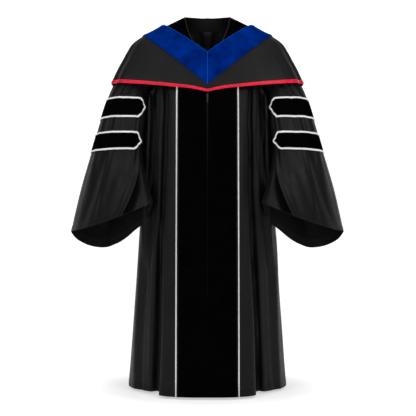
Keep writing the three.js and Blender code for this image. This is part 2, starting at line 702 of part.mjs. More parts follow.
function hemHeight(theta) {
  const { hemPoint, hemLevel, hemLevelX, hemSide, hemSideX, hemBack } = HOOD;
  if (theta > 90) return lerp(hemSide, hemBack, backShare(theta));
  const dip = (x) => (hemPoint - hemLevel) * (1 - clamp(x / hemLevelX)) ** 1.4;
  const rise = (x) => lerp(hemLevel, hemSide, clamp((x - hemLevelX) / (hemSideX - hemLevelX)));
  return heightWhere(theta, (x) => rise(x) + dip(x));
}

function capeGrid(side) {
  const rows = Array.from({ length: BAND_ROWS + CAPE_ROWS + 1 }, () => []);
  for (let k = 0; k <= CAPE_COLUMNS; k += 1) {
    const theta = (180 * k) / CAPE_COLUMNS;
    const inner = hoodEdge(theta, HOOD.vPoint, HOOD.shoulderInner, HOOD.backInner);
    const band = hoodEdge(theta, HOOD.bandPoint, HOOD.shoulderOuter, HOOD.backOuter);
    const hem = hemHeight(theta);
    rows.forEach((row, i) => {
      const onBand = i <= BAND_ROWS;
      const z = onBand ? lerp(inner, band, i / BAND_ROWS) : lerp(band, hem, (i - BAND_ROWS) / CAPE_ROWS);
      const point = capePoint(theta, z, side);
      if (k === 0 || k === CAPE_COLUMNS) point.x = (side * SEAM) / 2;
      row.push(point);
    });
  }
  return rows;
}

function capeNormals(grid, side) {
  const normals = normalsOf(grid, { side: -side });
  normals.forEach((row) => [row[0], row[CAPE_COLUMNS]].forEach(flatInX));
  return normals;
}

// The satin binding below the cape's hem, a flat strip with rounded faces.
function bindingGeometry(grid, normals) {
  const last = grid.length - 1;
  const rings = grid[last].map((edge, j) => {
    const down = edge.clone().sub(grid[last - 1][j]);
    if (j === 0 || j === CAPE_COLUMNS) down.x = 0;
    down.normalize();
    const width = lerp(BINDING.front, BINDING.side, clamp(Math.abs(edge.x) / HOOD.hemSideX));
    const bulge = (BINDING.thick - CLOTH) / 2;
    const corner = (drop, out) =>
      edge.clone().addScaledVector(down, SEAM + drop * width).addScaledVector(normals[last][j], out);
    return [
      corner(0, bulge * 0.5),
      corner(0.5, bulge),
      corner(1, -0.4),
      corner(1, 0.4 - CLOTH),
      corner(0.5, -CLOTH - bulge),
      corner(0, -CLOTH - bulge * 0.5),
    ];
  });
  return rod(rings);
}

// The rolled edge of the neckline, from one front's neck point round the back to the other's.
function neckBindingGeometry(places) {
  const sides = 6;
  const rings = places.map(({ edge, inside, normal }) => {
    const away = edge.clone().sub(inside).normalize();
    const middle = edge.clone().addScaledVector(away, NECK_BINDING_RADIUS + SEAM);
    middle.addScaledVector(normal, -CLOTH / 2);
    return Array.from({ length: sides }, (_, k) => {
      const angle = (2 * Math.PI * k) / sides;
      const out = away.clone().multiplyScalar(Math.cos(angle)).addScaledVector(normal, Math.sin(angle));
      return middle.clone().addScaledVector(out, NECK_BINDING_RADIUS);
    });
  });
  return rod(rings);
}

const fronts = {};
for (const [name, side] of [["left", 1], ["right", -1]]) {
  const grid = frontGrid(side);
  fronts[name] = { grid, normals: frontNormals(grid, side) };
}

// The depth of the fronts' outer face beside the opening, at a height.
function openingY(z) {
  const edge = fronts.left.grid.map((row) => row[0]);
  const next = edge.findIndex((point) => point.z <= z);
  const [a, b] = [edge[next - 1], edge[next]];
  return lerp(a.y, b.y, (z - a.z) / (b.z - a.z));
}

// The closed zip behind the fronts: two tapes and the coil between them, as one strip.
function zipGeometry() {
  const rows = fronts.left.grid.map((row) => row[0].z);
  const heights = [ZIP.top, ...rows.filter((z) => z < ZIP.top && z > ZIP.end), ZIP.end];
  const { tapeHalf, coilHalf } = ZIP;
  const rings = heights.map((z) => {
    const face = openingY(z) + CLOTH + LIFT + 0.15;
    const [front, back] = [face - ZIP.coilThick, face + ZIP.tapeThick];
    const outline = [
      [0, back],
      [-tapeHalf, back],
      [-tapeHalf, face],
      [-coilHalf, face],
      [-coilHalf, front],
      [coilHalf, front],
      [coilHalf, face],
      [tapeHalf, face],
      [tapeHalf, back],
    ];
    return outline.map(([x, y]) => new THREE.Vector3(x, y, z));
  });
  return rod(rings);
}

// The slope of the front beside the zip, which the slider and its pull follow.
const frontSlope = Math.atan2(openingY(-310) - openingY(-290), 20);
const sliderPlace = new THREE.Vector3(0, openingY(SLIDER.top - 3), SLIDER.top - 3);
const SLIDER_FACE = VELVET + LIFT + 0.4; // how far the slider stands before the cloth's outer face
const SLIDER_BACK = CLOTH + LIFT - ZIP.coilThick - 0.4; // how far behind that face it ends
const PIVOT_OUT = SLIDER_FACE + PULL.bar / 2 + 1.1;
const BAIL_DOWN = 4.2; // from the slider's place down to the middle of the bail
const PIVOT_DOWN = BAIL_DOWN + BAIL.openHeight / 2 - PULL.bar / 2 - 0.35;

const wasm = await Module();
wasm.setup();

function manifoldOf(geometry) {
  const bare = geometry.clone();
  bare.deleteAttribute("normal");
  bare.deleteAttribute("uv");
  const merged = mergeVertices(bare, 1e-4);
  const vertProperties = new Float32Array(merged.attributes.position.array);
  const triVerts = new Uint32Array(merged.index.array);
  return new wasm.Manifold(new wasm.Mesh({ numProp: 3, vertProperties, triVerts }));
}

function joined(first, second) {
  const mesh = manifoldOf(first).add(manifoldOf(second)).getMesh();
  const geometry = new THREE.BufferGeometry();
  geometry.setAttribute("position", new THREE.BufferAttribute(new Float32Array(mesh.vertProperties), 3));
  geometry.setIndex(new THREE.BufferAttribute(new Uint32Array(mesh.triVerts), 1));
  geometry.computeVertexNormals();
  return geometry;
}

function shapeOf(outline, holes = []) {
  const shape = new THREE.Shape(outline.map(([x, y]) => new THREE.Vector2(x, y)));
  shape.holes = holes.map((hole) => new THREE.Path(hole.map(([x, y]) => new THREE.Vector2(x, y))));
  return shape;
}

// The slider's body and the bail over its face, with its own Z along the front and -Y away from it.
function sliderGeometry() {
  const { width, height } = SLIDER;
  const body = new THREE.ExtrudeGeometry(
    shapeOf([
      [-width / 2, 0.5],
      [-width / 2 + 1, 2.5],
      [width / 2 - 1, 2.5],
      [width / 2, 0.5],
      [width * 0.34, 3 - height],
      [-width * 0.34, 3 - height],
    ]),
    { depth: SLIDER_FACE + SLIDER_BACK, bevelEnabled: false },
  );
  body.rotateX(Math.PI / 2);
  body.translate(0, SLIDER_BACK, 0);
  const inner = BAIL.openHeight / 2;
  const outer = inner + BAIL.wall;
  const reach = PIVOT_OUT - SLIDER_FACE + PULL.bar / 2 + 0.5;
  const bail = new THREE.ExtrudeGeometry(
    shapeOf(
      [
        [-0.5, outer],
        [reach, outer],
        [reach + BAIL.wall, inner],
        [reach + BAIL.wall, -inner],
        [reach, -outer],
        [-0.5, -outer],
      ],
      [
        [
          [0, inner],
          [0, -inner],
          [reach, -inner],
          [reach, inner],
        ],
      ],
    ),
    { depth: BAIL.width, bevelEnabled: false },
  );
  bail.translate(0, 0, -BAIL.width / 2);
  const [across, down, up] = [[-1, 0, 0], [0, -1, 0], [0, 0, 1]].map(vector);
  bail.applyMatrix4(new THREE.Matrix4().makeBasis(down, up, across));
  bail.translate(0, -SLIDER_FACE, -BAIL_DOWN);
  return joined(body, bail);
}

// The pull tab: a plate with a window for the bail at its top and a small eye near its end.
function pullGeometry() {
  const { width, length, open, openHeight, bar, eye } = PULL;
  const edge = bar / 2;
  const outline = [
    [-width / 2, edge],
    [-width / 2, -edge - openHeight - 1],
    [-width * 0.36, -length + 1.5],
    [-width * 0.22, -length],
    [width * 0.22, -length],
    [width * 0.36, -length + 1.5],
    [width / 2, -edge - openHeight - 1],
    [width / 2, edge],
  ];
  const window = [
    [-open / 2, -edge],
    [open / 2, -edge],
    [open / 2, -edge - openHeight],
    [-open / 2, -edge - openHeight],
  ];
  const round = Array.from({ length: 8 }, (_, k) => radians(45 * k));
  const hole = round.map((angle) => [eye * Math.cos(angle), 4 - length + eye * Math.sin(angle)]);
  const geometry = new THREE.ExtrudeGeometry(shapeOf(outline, [window, hole]), {
    depth: PULL.thick,
    bevelEnabled: false,
  });
  geometry.translate(0, 0, -PULL.thick / 2);
  geometry.rotateX(Math.PI / 2);
  return geometry;
}

const gown = new THREE.Group();

function add(name, geometry, colour, parent = gown) {
  const mesh = new THREE.Mesh(geometry, new THREE.MeshStandardMaterial(COLOURS[colour]));
  mesh.name = name;
  parent.add(mesh);
  return mesh;
}

const clothWall = (grid, normals, closed = false) => wall(grid, moved(grid, normals, -CLOTH), closed);
const laidOn = (grid, normals, thickness) =>
  wall(moved(grid, normals, LIFT + thickness), moved(grid, normals, LIFT));
const firstColumns = (grid, last) => grid.map((row) => row.slice(0, last + 1));

for (const [name, side] of [["left", 1], ["right", -1]]) {
  const front = fronts[name];
  add(`front_${name}`, clothWall(front.grid, front.normals), "cloth");
  const band = laidOn(firstColumns(front.grid, BAND_EDGE), firstColumns(front.normals, BAND_EDGE), VELVET);
  add(`velvet_band_${name}`, band, "velvet");
  const places = front.grid.map((row, i) => {
    const near = row[BAND_EDGE].clone();
    const across = row[BRAID_EDGE].clone().sub(near).normalize();
    near.addScaledVector(across, SEAM);
    const far = near.clone().addScaledVector(across, CORD_WIDTH);
    return { near, far, normal: front.normals[i][BAND_EDGE] };
  });
  add(`front_braid_${name}`, braid(places, CORD_HEIGHT, LIFT), "braid");

  const sleeve = sleeveGrid(side);
  const sleeveOut = sleeveNormals(sleeve, side);
  add(`sleeve_${name}`, clothWall(sleeve, sleeveOut, true), "cloth");
  for (const bar of BARS) {
    const { velvet, cord } = barPieces(sleeve, sleeveOut, bar);
    add(`sleeve_bar_${bar.name}_${name}`, velvet, "velvet");
    add(`bar_braid_${bar.name}_${name}`, cord, "braid");
  }

  const cape = capeGrid(side);
  const capeOut = capeNormals(cape, side);
  add(`hood_cape_${name}`, clothWall(cape, capeOut), "cloth");
  const [bandRows, bandOut] = [cape, capeOut].map((lines) => lines.slice(0, BAND_ROWS + 1));
  add(`hood_band_${name}`, laidOn(bandRows, bandOut, VELVET), "blue");
  add(`hood_binding_${name}`, bindingGeometry(cape, capeOut), "satin");
}

const back = backGrid();
add("back", clothWall(back, backNormals(back)), "cloth");
const yoke = yokeGrid();
const yokeOut = yokeNormals(yoke);
add("yoke", clothWall(yoke, yokeOut), "cloth");

const frontNeck = ({ grid, normals }) =>
  FRONT_YOKE_ROWS.map((_, i) => ({ edge: grid[i][0], inside: grid[i][1], normal: normals[i][0] }));
const yokeEnds = yoke.map((line, i) => ({ edge: line[0], inside: line[1], normal: yokeOut[i][0] }));
const yokeNeck = yokeEnds.slice(1, -1);
const neckline = [...frontNeck(fronts.left).reverse(), ...yokeNeck, ...frontNeck(fronts.right)];
add("neck_binding", neckBindingGeometry(neckline), "cloth");

add("zip", zipGeometry(), "metal");
const fastening = new THREE.Group();
fastening.position.copy(sliderPlace);
fastening.rotation.x = frontSlope;
gown.add(fastening);
add("zip_slider", sliderGeometry(), "metal", fastening);
add("zip_pull", pullGeometry(), "metal", fastening).position.set(0, -PIVOT_OUT, -PIVOT_DOWN);

export default gown;
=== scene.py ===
# A doctoral graduation gown with its hood cape, as it hangs when it is worn, with no wearer.
# Sizes are millimetres up to the meshes. +Z is up, the front faces -Y and +X is the wearer's left.
import math
import random

import bpy
import numpy as np
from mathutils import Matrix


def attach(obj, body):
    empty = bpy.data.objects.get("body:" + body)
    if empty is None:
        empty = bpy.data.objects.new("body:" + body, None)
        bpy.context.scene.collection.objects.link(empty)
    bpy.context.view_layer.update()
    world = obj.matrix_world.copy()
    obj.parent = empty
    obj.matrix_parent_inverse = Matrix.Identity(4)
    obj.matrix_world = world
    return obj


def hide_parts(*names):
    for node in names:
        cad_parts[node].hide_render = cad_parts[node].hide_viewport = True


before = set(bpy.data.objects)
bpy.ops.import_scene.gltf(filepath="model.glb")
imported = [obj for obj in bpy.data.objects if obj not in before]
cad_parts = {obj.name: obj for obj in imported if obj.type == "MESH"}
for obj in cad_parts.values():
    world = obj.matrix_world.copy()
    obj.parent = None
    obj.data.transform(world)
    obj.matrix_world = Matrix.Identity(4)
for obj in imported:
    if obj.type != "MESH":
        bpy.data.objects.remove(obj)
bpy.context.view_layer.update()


def table(columns, *rows):
    """Rows of named values, given in the order of the columns."""
    return [dict(zip(columns.split(), row)) for row in rows]


MM = 0.001
GOWN_BODY = "gown"
SIDES = (("left", 1), ("right", -1))
CLOTH = 0.9  # wall of the gown's cloth
VELVET = 1.6
CHEST_Z = -290.0
CUFF_Z = -700.0
HEM_Z = -1343.0
HEM_ROWS = 9
CORD_WIDTH = 9.0
CORD_HEIGHT = 4.6
CORD_PITCH = 13.0
BAR_CORD_WIDTH = 7.6
BAR_CORD_HEIGHT = 4.0
BAR_CORD_PITCH = 12.0
HEM_STITCH = 30.0  # the hem's stitches above its edge
CUFF_STITCH = 24.0

SHOULDER_TIP = (213, 2, -44.6)
UNDERARM = (216, 0, CHEST_Z)
ARMHOLE_FRONT = (190, -64, -178)
ARMHOLE_BACK = (190, 66, -178)

# Plan of the front from the opening to the side seam: x and y at the chest, the cuffs and the hem.
FRONT_FOLDS = table(
    "name chest cuff hem",
    ("opening", (0, -131), (0, -168), (0, -222)),
    ("band middle", (52, -129), (52, -167), (52, -222)),
    ("band edge", (102, -123), (102, -161), (102, -216)),
    ("braid edge", (109, -121), (109, -159), (109, -214)),
    ("centre panel", (127, -116), (132, -153), (142, -204)),
    ("pleat crest", (143, -108), (152, -142), (170, -183)),
    ("pleat return", (147, -100), (156, -130), (174, -158)),
    ("pleat valley", (150, -93), (160, -117), (179, -125)),
    ("side panel", (168, -92), (181, -112), (208, -116)),
    ("side crest", (184, -86), (199, -104), (234, -101)),
    ("side valley", (196, -64), (212, -85), (250, -86)),
    ("side roll", (208, -82), (227, -76), (270, -60)),
    ("side front", (215, -50), (239, -42), (285, -29)),
    ("side seam", (216, 0), (244, 0), (291, 0)),
)
BAND_EDGE = 2
BRAID_EDGE = 3
PLEAT_CREST = 5
SIDE_SEAM = 13
SIDE_SWELL = table(
    "z out",
    (CHEST_Z, 0),
    (-380, 3),
    (-480, 7),
    (-620, 5),
    (-760, 0),
)
SWELL_SHARES = [0, 0, 0, 0, 0, 0, 0, 0, 0.1, 0.3, 0.5, 0.8, 1, 1]
LEFT_PLEAT_DRIFT = (3, -4, -3)

FRONT_YOKE_ROWS = table(
    "x y z armhole bow chest",
    (86, -8, 12, 10, 0, 0),
    (74, -32, -38, 38, 10, 0.2),
    (54, -62, -88, 66, 15, 0.45),
    (30, -95, -160, 95, 12, 0.75),
    (5, -127, -262, 138, 4, 0.95),
)
OPENING_GAP = table(
    "z half",
    (-262, 4.6),
    (-310, 4.4),
    (-450, 2),
    (-620, 1),
    (-980, 0.8),
    (-1100, 0.2),
    (-1226, 0.01),
    (HEM_Z, 0.01),
)
BACK_LEVELS = table(
    "z depth flute",
    (CHEST_Z, 126, 6),
    (CUFF_Z, 160, 13),
    (HEM_Z, 200, 24),
)
FLUTES = 4
FLUTE_SHARES = [0.7, 1.1, 0.85, 1.15]
BACK_YOKE_ROWS = table(
    "y z armhole flute",
    (97, -19, 50, 0),
    (114, -95, 80, 4),
    (121, -185, 118, 6),
)
YOKE_COLUMNS = [
    dict(x=86, y=-8, z=12, armhole=10),
    dict(x=84, y=12, z=17, armhole=-12),
    dict(x=75, y=41, z=22, armhole=-32),
    dict(x=59, y=60, z=25, armhole=-50),
    dict(x=44, y=69, z=26, seam=0.25),
    dict(x=30, y=74, z=26, seam=0.5),
    dict(x=15, y=77, z=26, seam=0.75),
    dict(x=0, y=78, z=26, seam=1),
]
SLEEVE_RINGS = table(
    "key outer front inner back round gather fold crest",
    (-44.6, SHOULDER_TIP, ARMHOLE_FRONT, UNDERARM, ARMHOLE_BACK, (2, 2, 2), 2.5, 0, 154),
    (-118, (286, 4, -118), (243, -80, -214), (219.5, -5, -294), (246, 82, -214), (2.2, 2.4, 2), 4, 0, 154),
    (-225, (338, 1, -225), (274, -94, -262), (219.5, -12, -301), (276, 90, -262), (2.6, 3.4, 2), 3, 0, 154),
    (-294, (368, -2, -294), (292, -102, -293), (222, -18, -299),
     (296, 92, -300), (2.8, 4, 1.9), 2.6, 0, 154),
    (-380, (395, -8, -380), (306, -122, -377), (227, -30, -381), (312, 90, -388), (2.8, 4, 1.9), 2, 2, 152),
    (-490, (426, -18, -490), (322, -150, -485), (238.5, -50, -486),
     (330, 80, -504), (2.4, 3.6, 1.8), 1.6, 11, 149),
    (-620, (462, -36, -620), (325, -192, -608), (216, -130, -592),
     (350, 52, -642), (2, 2, 1.7), 1, 26, 127),
    (-775, (494, -60, -772), (316, -225, -723), (193, -150, -667),
     (362, 14, -832), (2, 2, 1.5), 0.4, 32, 97),
)
BARS = table(
    "name keys corner",
    ("upper", (-292, -331, -370), 13.3),
    ("lower", (-420, -455, -490), 13.8),
)
FRONT_COLUMNS = 16
FLAP_COLUMNS = 4
BACK_COLUMNS = 14
FOLD_WIDTH = 4
BAR_FRONT = 14
BAR_BACK = 11
BAR_TIP = 2

CAPE_LEVELS = table(
    "z side front back square",
    (0, 132, 34, 62, 2),
    (-17.5, 167, 49, 83, 2),
    (-34, 195, 62, 98, 2.1),
    (-60, 243, 78, 116, 2.2),
    (-87, 277, 91, 127, 2.4),
    (-116, 295, 103, 134, 2.5),
    (-150, 312, 117, 141, 2.6),
    (-194, 334, 130, 149, 2.8),
    (-235, 351, 141, 155, 2.8),
    (-350, 380, 153, 168, 2.8),
)
HOOD = dict(
    v_point=-131, band_point=-252, shoulder_inner=(162, -16), shoulder_outer=(235, -58),
    back_inner=-72, back_outer=-176, hem_point=-270, hem_level=-252, hem_level_x=100,
    hem_side=-224, hem_side_x=345, hem_back=-325,
)
BINDING = dict(front=10, side=15, thick=4.5)
ZIP = dict(top=-284, end=-1010, tape_half=13)

# Creases of a panel: where each starts and ends (along x and z), its half width, and how far it
# stands out (or in, when negative). On the sleeves x is a column and z is a key height.
FRONT_CREASES = table(
    "x0 z0 x1 z1 width out",
    (150, -190, 153, -420, 5.5, -9),
    (152, -400, 162, -760, 6, -12),
    (162, -740, 188, -1400, 8, -14),
    (164, -220, 172, -560, 8, 5),
    (171, -540, 204, -1400, 13, 9),
    (195, -262, 206, -600, 6.5, -22),
    (198, -540, 214, -900, 6, -10),
    (208, -280, 216, -560, 5, 6),
    (216, -540, 232, -900, 8, 6),
    (222, -860, 244, -1400, 10, -6),
    (240, -700, 266, -1400, 10, 5),
    (118, -300, 124, -760, 7, 1.4),
    (120, -640, 130, -1330, 9, -2),
    (130, -120, 150, -250, 8, -2),
)
SLEEVE_CREASES = table(
    "x0 z0 x1 z1 width out",
    (6, -120, 7.2, -420, 0.7, 2.2),
    (9.4, -150, 9, -470, 0.6, -2.2),
    (12.2, -70, 13.2, -330, 0.6, 2.6),
    (3.2, -200, 4.6, -640, 0.9, 2.6),
    (8.2, -480, 11, -775, 1, 3.4),
    (5.6, -500, 6.4, -775, 0.9, -3),
    (13, -520, 14.6, -775, 0.8, -3),
    (17.8, -420, 18.1, -800, 0.9, -9),
    (25, -160, 26, -640, 0.9, 3),
    (28.5, -120, 28, -560, 0.7, -2.6),
    (23.6, -560, 24.4, -830, 1.1, 7),
    (26.8, -620, 26.2, -830, 1, -7),
    (29.4, -600, 30, -830, 1.2, 6),
    (31, -200, 32, -700, 0.9, 3.4),
    (33.6, -260, 34.4, -760, 0.7, -3),
)
BACK_CREASES = table(
    "x0 z0 x1 z1 width out",
    (30, -60, 44, -620, 7, 2.4),
    (-26, -90, -52, -760, 8, -2.6),
    (92, -70, 112, -520, 8, -2.4),
    (-96, -60, -120, -700, 7, 2.6),
    (142, -140, 176, -900, 8, 2.8),
    (-150, -200, -184, -820, 9, -2.8),
    (66, -600, 84, -1335, 10, 3.6),
    (-60, -560, -88, -1335, 10, 3.2),
    (190, -500, 226, -1335, 9, -3.2),
    (-196, -620, -230, -1335, 9, 3.4),
)


# Small maths


def lerp(a, b, t):
    return a + (b - a) * t


def clamp(t):
    return np.clip(t, 0.0, 1.0)


def ease(t):
    t = clamp(t)
    return t * t * (3 - 2 * t)


def bump(t):
    """A soft hill, 1 at 0 and 0 beyond about 2.5."""
    return np.exp(-np.square(t))


def unit(vectors):
    length = np.linalg.norm(vectors, axis=-1, keepdims=True)
    return vectors / np.maximum(length, 1e-9)


def between(table, key, column, at):
    """A smooth value between the rows of a table that is sorted by falling key."""

    def value(i):
        return np.asarray(table[i][column], float)

    last = len(table) - 1
    if at >= table[0][key]:
        return value(0)
    if at <= table[last][key]:
        return value(last)
    i = next(k for k in range(last) if at >= table[k + 1][key])
    span = table[i + 1][key] - table[i][key]
    t = (at - table[i][key]) / span

    def slope(a, b):
        return (value(b) - value(a)) / (table[b][key] - table[a][key]) * span

    start = slope(max(0, i - 1), i + 1)
    end = slope(i, min(last, i + 2))
    t2, t3 = t * t, t * t * t
    kept = (2 * t3 - 3 * t2 + 1) * value(i) + (3 * t2 - 2 * t3) * value(i + 1)
    return kept + (t3 - 2 * t2 + t) * start + (t3 - t2) * end


def smooth_rows(grid, steps):
    """More rows of points, on smooth lines through the rows of a grid."""
    count = len(grid)
    padded = np.concatenate([2 * grid[:1] - grid[1:2], grid, 2 * grid[-1:] - grid[-2:-1]])
    places = np.arange((count - 1) * steps + 1) / steps
    low = np.minimum(places.astype(int), count - 2)
    t = (places - low).reshape((-1,) + (1,) * (grid.ndim - 1))
    a, b, c, d = (padded[low + k] for k in range(4))
    t2, t3 = t * t, t * t * t
    return 0.5 * (2 * b + (c - a) * t + (2 * a - 5 * b + 4 * c - d) * t2 + (3 * b - a - 3 * c + d) * t3)


def smooth_columns(grid, steps):
    return smooth_rows(grid.swapaxes(0, 1), steps).swapaxes(0, 1)


def normals_of(grid, closed=False, side=1):
    """Unit normals of a grid of points, pointing to the given side."""
    if closed:
        across = np.roll(grid, -1, axis=1) - np.roll(grid, 1, axis=1)
    else:
        across = np.gradient(grid, axis=1)
    down = np.gradient(grid, axis=0)
    return unit(np.cross(across, down)) * side


def sample(grid, rows, columns, closed=False):
    """Values of a grid at fractional rows and columns."""
    rows = np.clip(np.asarray(rows, float), 0, len(grid) - 1.000001)
    columns = np.asarray(columns, float)
    width = grid.shape[1]
    columns = np.mod(columns, width) if closed else np.clip(columns, 0, width - 1.000001)
    i, j = np.floor(rows).astype(int), np.floor(columns).astype(int)
    s, t = (rows - i)[..., None], (columns - j)[..., None]
    j2 = (j + 1) % width if closed else j + 1
    top = lerp(grid[i, j], grid[i, j2], t)
    low = lerp(grid[i + 1, j], grid[i + 1, j2], t)
    return lerp(top, low, s)


def creased(x, z, creases):
    """How far the creases of a table move the surface out at each x and z."""
    out = np.zeros(np.broadcast(x, z).shape)
    for crease in creases:
        share = (z - crease["z0"]) / (crease["z1"] - crease["z0"])
        middle = lerp(crease["x0"], crease["x1"], share)
        middle = middle + 0.5 * crease["width"] * np.sin(share * 5 + crease["x0"])
        ends = ease((share + 0.1) / 0.3) * ease((1.1 - share) / 0.3)
        out += crease["out"] * ends * bump((x - middle) / crease["width"])
    return out


def wander(x, z, seed, size, depth):
    """Slow uneven waves over a surface."""
    rng = random.Random(seed)
    out = np.zeros(np.broadcast(x, z).shape)
    for _ in range(5):
        turn = rng.uniform(-0.5, 0.5)
        wave = size * rng.uniform(0.7, 1.6)
        place = x * math.cos(turn) + z * math.sin(turn) * 0.35
        out += np.sin(place / wave * 6.28 + rng.uniform(0, 6.28)) * rng.uniform(0.4, 1)
    return out * depth / 3


# Building meshes

def add_mesh(name, vertices, faces, finish, sharp=50):
    """A mesh piece of the gown. Its finish is a material and the slot that it stands for; the slot is not
    used.
    """
    material, slot = finish
    mesh = bpy.data.meshes.new(name)
    mesh.from_pydata((vertices * MM).tolist(), [], faces)
    mesh.validate()
    mesh.polygons.foreach_set("use_smooth", [True] * len(mesh.polygons))
    mesh.set_sharp_from_angle(angle=math.radians(sharp))
    piece = bpy.data.objects.new(name, mesh)
    bpy.context.scene.collection.objects.link(piece)
    mesh.materials.append(material)
    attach(piece, GOWN_BODY)
    return piece


def grid_faces(rows, columns, start=0, closed=False):
    last = columns if closed else columns - 1
    i, j = np.meshgrid(np.arange(rows - 1), np.arange(last), indexing="ij")
    k = (j + 1) % columns
    corners = [i * columns + j, i * columns + k, (i + 1) * columns + k, (i + 1) * columns + j]
    return start + np.stack([corner.ravel() for corner in corners], axis=1)


def shell_parts(outer, inner, closed=False):
    """Vertices and faces of a wall between two grids, closed along its edges."""
    rows, columns = outer.shape[:2]
    vertices = np.concatenate([outer.reshape(-1, 3), inner.reshape(-1, 3)])
    back = rows * columns
    front_faces = grid_faces(rows, columns, 0, closed)
    back_faces = grid_faces(rows, columns, back, closed)[:, ::-1]
    edges = [np.arange(columns), (rows - 1) * columns + np.arange(columns)]
    if not closed:
        edges += [np.arange(rows) * columns, np.arange(rows) * columns + columns - 1]
    rims = []
    for number, line in enumerate(edges):
        ahead = np.roll(line, -1) if closed else line[1:]
        here = line if closed else line[:-1]
        rim = np.stack([here, here + back, ahead + back, ahead], axis=1)
        rims.append(rim[:, ::-1] if number in (1, 2) else rim)
    return vertices, np.concatenate([front_faces, back_faces, *rims])


def outward(vertices, faces):
    """The faces, turned if the closed mesh is inside out."""
    a, b, c, d = (vertices[faces[:, k]] for k in range(4))
    volume = np.sum(a * (np.cross(b, c) + np.cross(c, d)))
    return faces[:, ::-1] if volume < 0 else faces


def shell(name, outer, normals, thickness, finish, closed=False):
    vertices, faces = shell_parts(outer, outer - normals * thickness, closed)
    return add_mesh(name, vertices, outward(vertices, faces).tolist(), finish)


def tube_parts(rings):
    """Vertices and faces of a rod through rings of points, with closed ends."""
    count, sides = rings.shape[:2]
    vertices = rings.reshape(-1, 3)
    faces = grid_faces(count, sides, 0, True)
    middles = np.array([rings[0].mean(0), rings[-1].mean(0)])
    here = np.arange(sides)
    ahead = (here + 1) % sides
    end = (count - 1) * sides
    centre = np.full(sides, len(vertices))
    first = np.stack([here, ahead, centre], axis=1)
    last = np.stack([end + ahead, end + here, centre + 1], axis=1)
    return np.concatenate([vertices, middles]), faces, np.concatenate([first, last])


def merged(parts):
    """One list of vertices and faces from several tubes."""
    vertices, faces, start = [], [], 0
    for points, quads, caps in parts:
        vertices.append(points)
        faces += (quads + start).tolist() + (caps + start).tolist()
        start += len(points)
    return np.concatenate(vertices), faces


def rings_round(middle, across, up, width, height, sides):
    """Oval rings round the points of a line, half as wide and high as given."""
    around = 2 * np.pi * np.arange(sides) / sides
    rings = middle[:, None] + across[:, None] * (np.cos(around) * width)[None, :, None]
    return rings + up[:, None] * (np.sin(around) * height)[None, :, None]


def directions(line, normals):
    """The directions along a line, up from its surface and across it."""
    along = unit(np.gradient(line, axis=0))
    up = unit(normals - along * np.sum(normals * along, axis=1, keepdims=True))
    return along, up, np.cross(along, up)


def resampled(points, step, *others, closed=False):
    """Points spaced evenly along a line, and what goes with them."""
    if closed:
        points = np.concatenate([points, points[:1]])
        others = [np.concatenate([other, other[:1]]) for other in others]
    lengths = np.linalg.norm(np.diff(points, axis=0), axis=1)
    along = np.concatenate([[0], np.cumsum(lengths)])
    count = max(2, int(round(along[-1] / step)) + 1)
    places = np.linspace(0, along[-1], count)
    lines = [
        np.stack([np.interp(places, along, line[:, k]) for k in range(3)], axis=1)
        for line in (points, *others)
    ]
    return places, lines


def evened(line, reach=4):
    """A line with each point at the mean of its neighbours, and its ends kept."""
    padded = np.pad(line, ((reach, reach), (0, 0)), mode="reflect", reflect_type="odd")
    return sum(padded[k : k + len(line)] for k in range(2 * reach + 1)) / (2 * reach + 1)


def twisted_cord(name, points, normals, width, height, pitch, closed=False):
    """A cord of three strands laid along a line on a surface, flattened where it is sewn down."""
    step = pitch / 8
    places, (line, up) = resampled(points, step, normals, closed=closed)
    _, up, across = directions(line, up)
    turn_length = places[-1] / max(1, round(places[-1] / pitch)) if closed else pitch
    parts = []
    for strand in range(3):
        angle = 2 * np.pi * (places / turn_length + strand / 3)
        middle = line + across * (np.cos(angle) * width * 0.24)[:, None]
        middle = middle + up * (height / 2 + np.sin(angle) * height * 0.24)[:, None]
        parts.append(tube_parts(rings_round(middle, across, up, width * 0.27, height * 0.29, 6)))
    return add_mesh(name, *merged(parts), white_cord, sharp=80)


STITCH = dict(pitch=3.4, length=2.3, thick=0.5, lift=0.1)
# Where a stitch's four sections are along it, how high they are and how thick, as shares.
STITCH_SECTIONS = [(-0.5, -0.2, 0.5), (-0.3, 0.35, 1), (0.3, 0.35, 1), (0.5, -0.2, 0.5)]


def stitching(name, points, normals, closed=False):
    """A row of machine stitches, each a small bar of thread that dips in at its ends."""
    points = points + normals * STITCH["lift"]
    _, (line, up) = resampled(points, STITCH["pitch"], normals, closed=closed)
    thick = STITCH["thick"]
    vertices, faces = [], []
    for p, a, u, c in zip(line, *directions(line, up)):
        start = len(vertices)
        for share, height, size in STITCH_SECTIONS:
            middle = p + a * share * STITCH["length"] + u * height * thick
            for ax, ux in ((1, 0), (0, 1), (-1, 0), (0, -1)):
                vertices.append(middle + (c * ax + u * ux) * thick * 0.5 * size)
        for low in (start, start + 4, start + 8):
            for k in range(4):
                q = (k + 1) % 4
                faces.append([low + k, low + q, low + 4 + q, low + 4 + k])
        faces.append([start + 3, start + 2, start + 1, start])
        faces.append([start + 12, start + 13, start + 14, start + 15])
    return add_mesh(name, np.array(vertices), faces, thread, sharp=80)


# Materials


def rgba(r, g, b):
    return (r, g, b, 1.0)


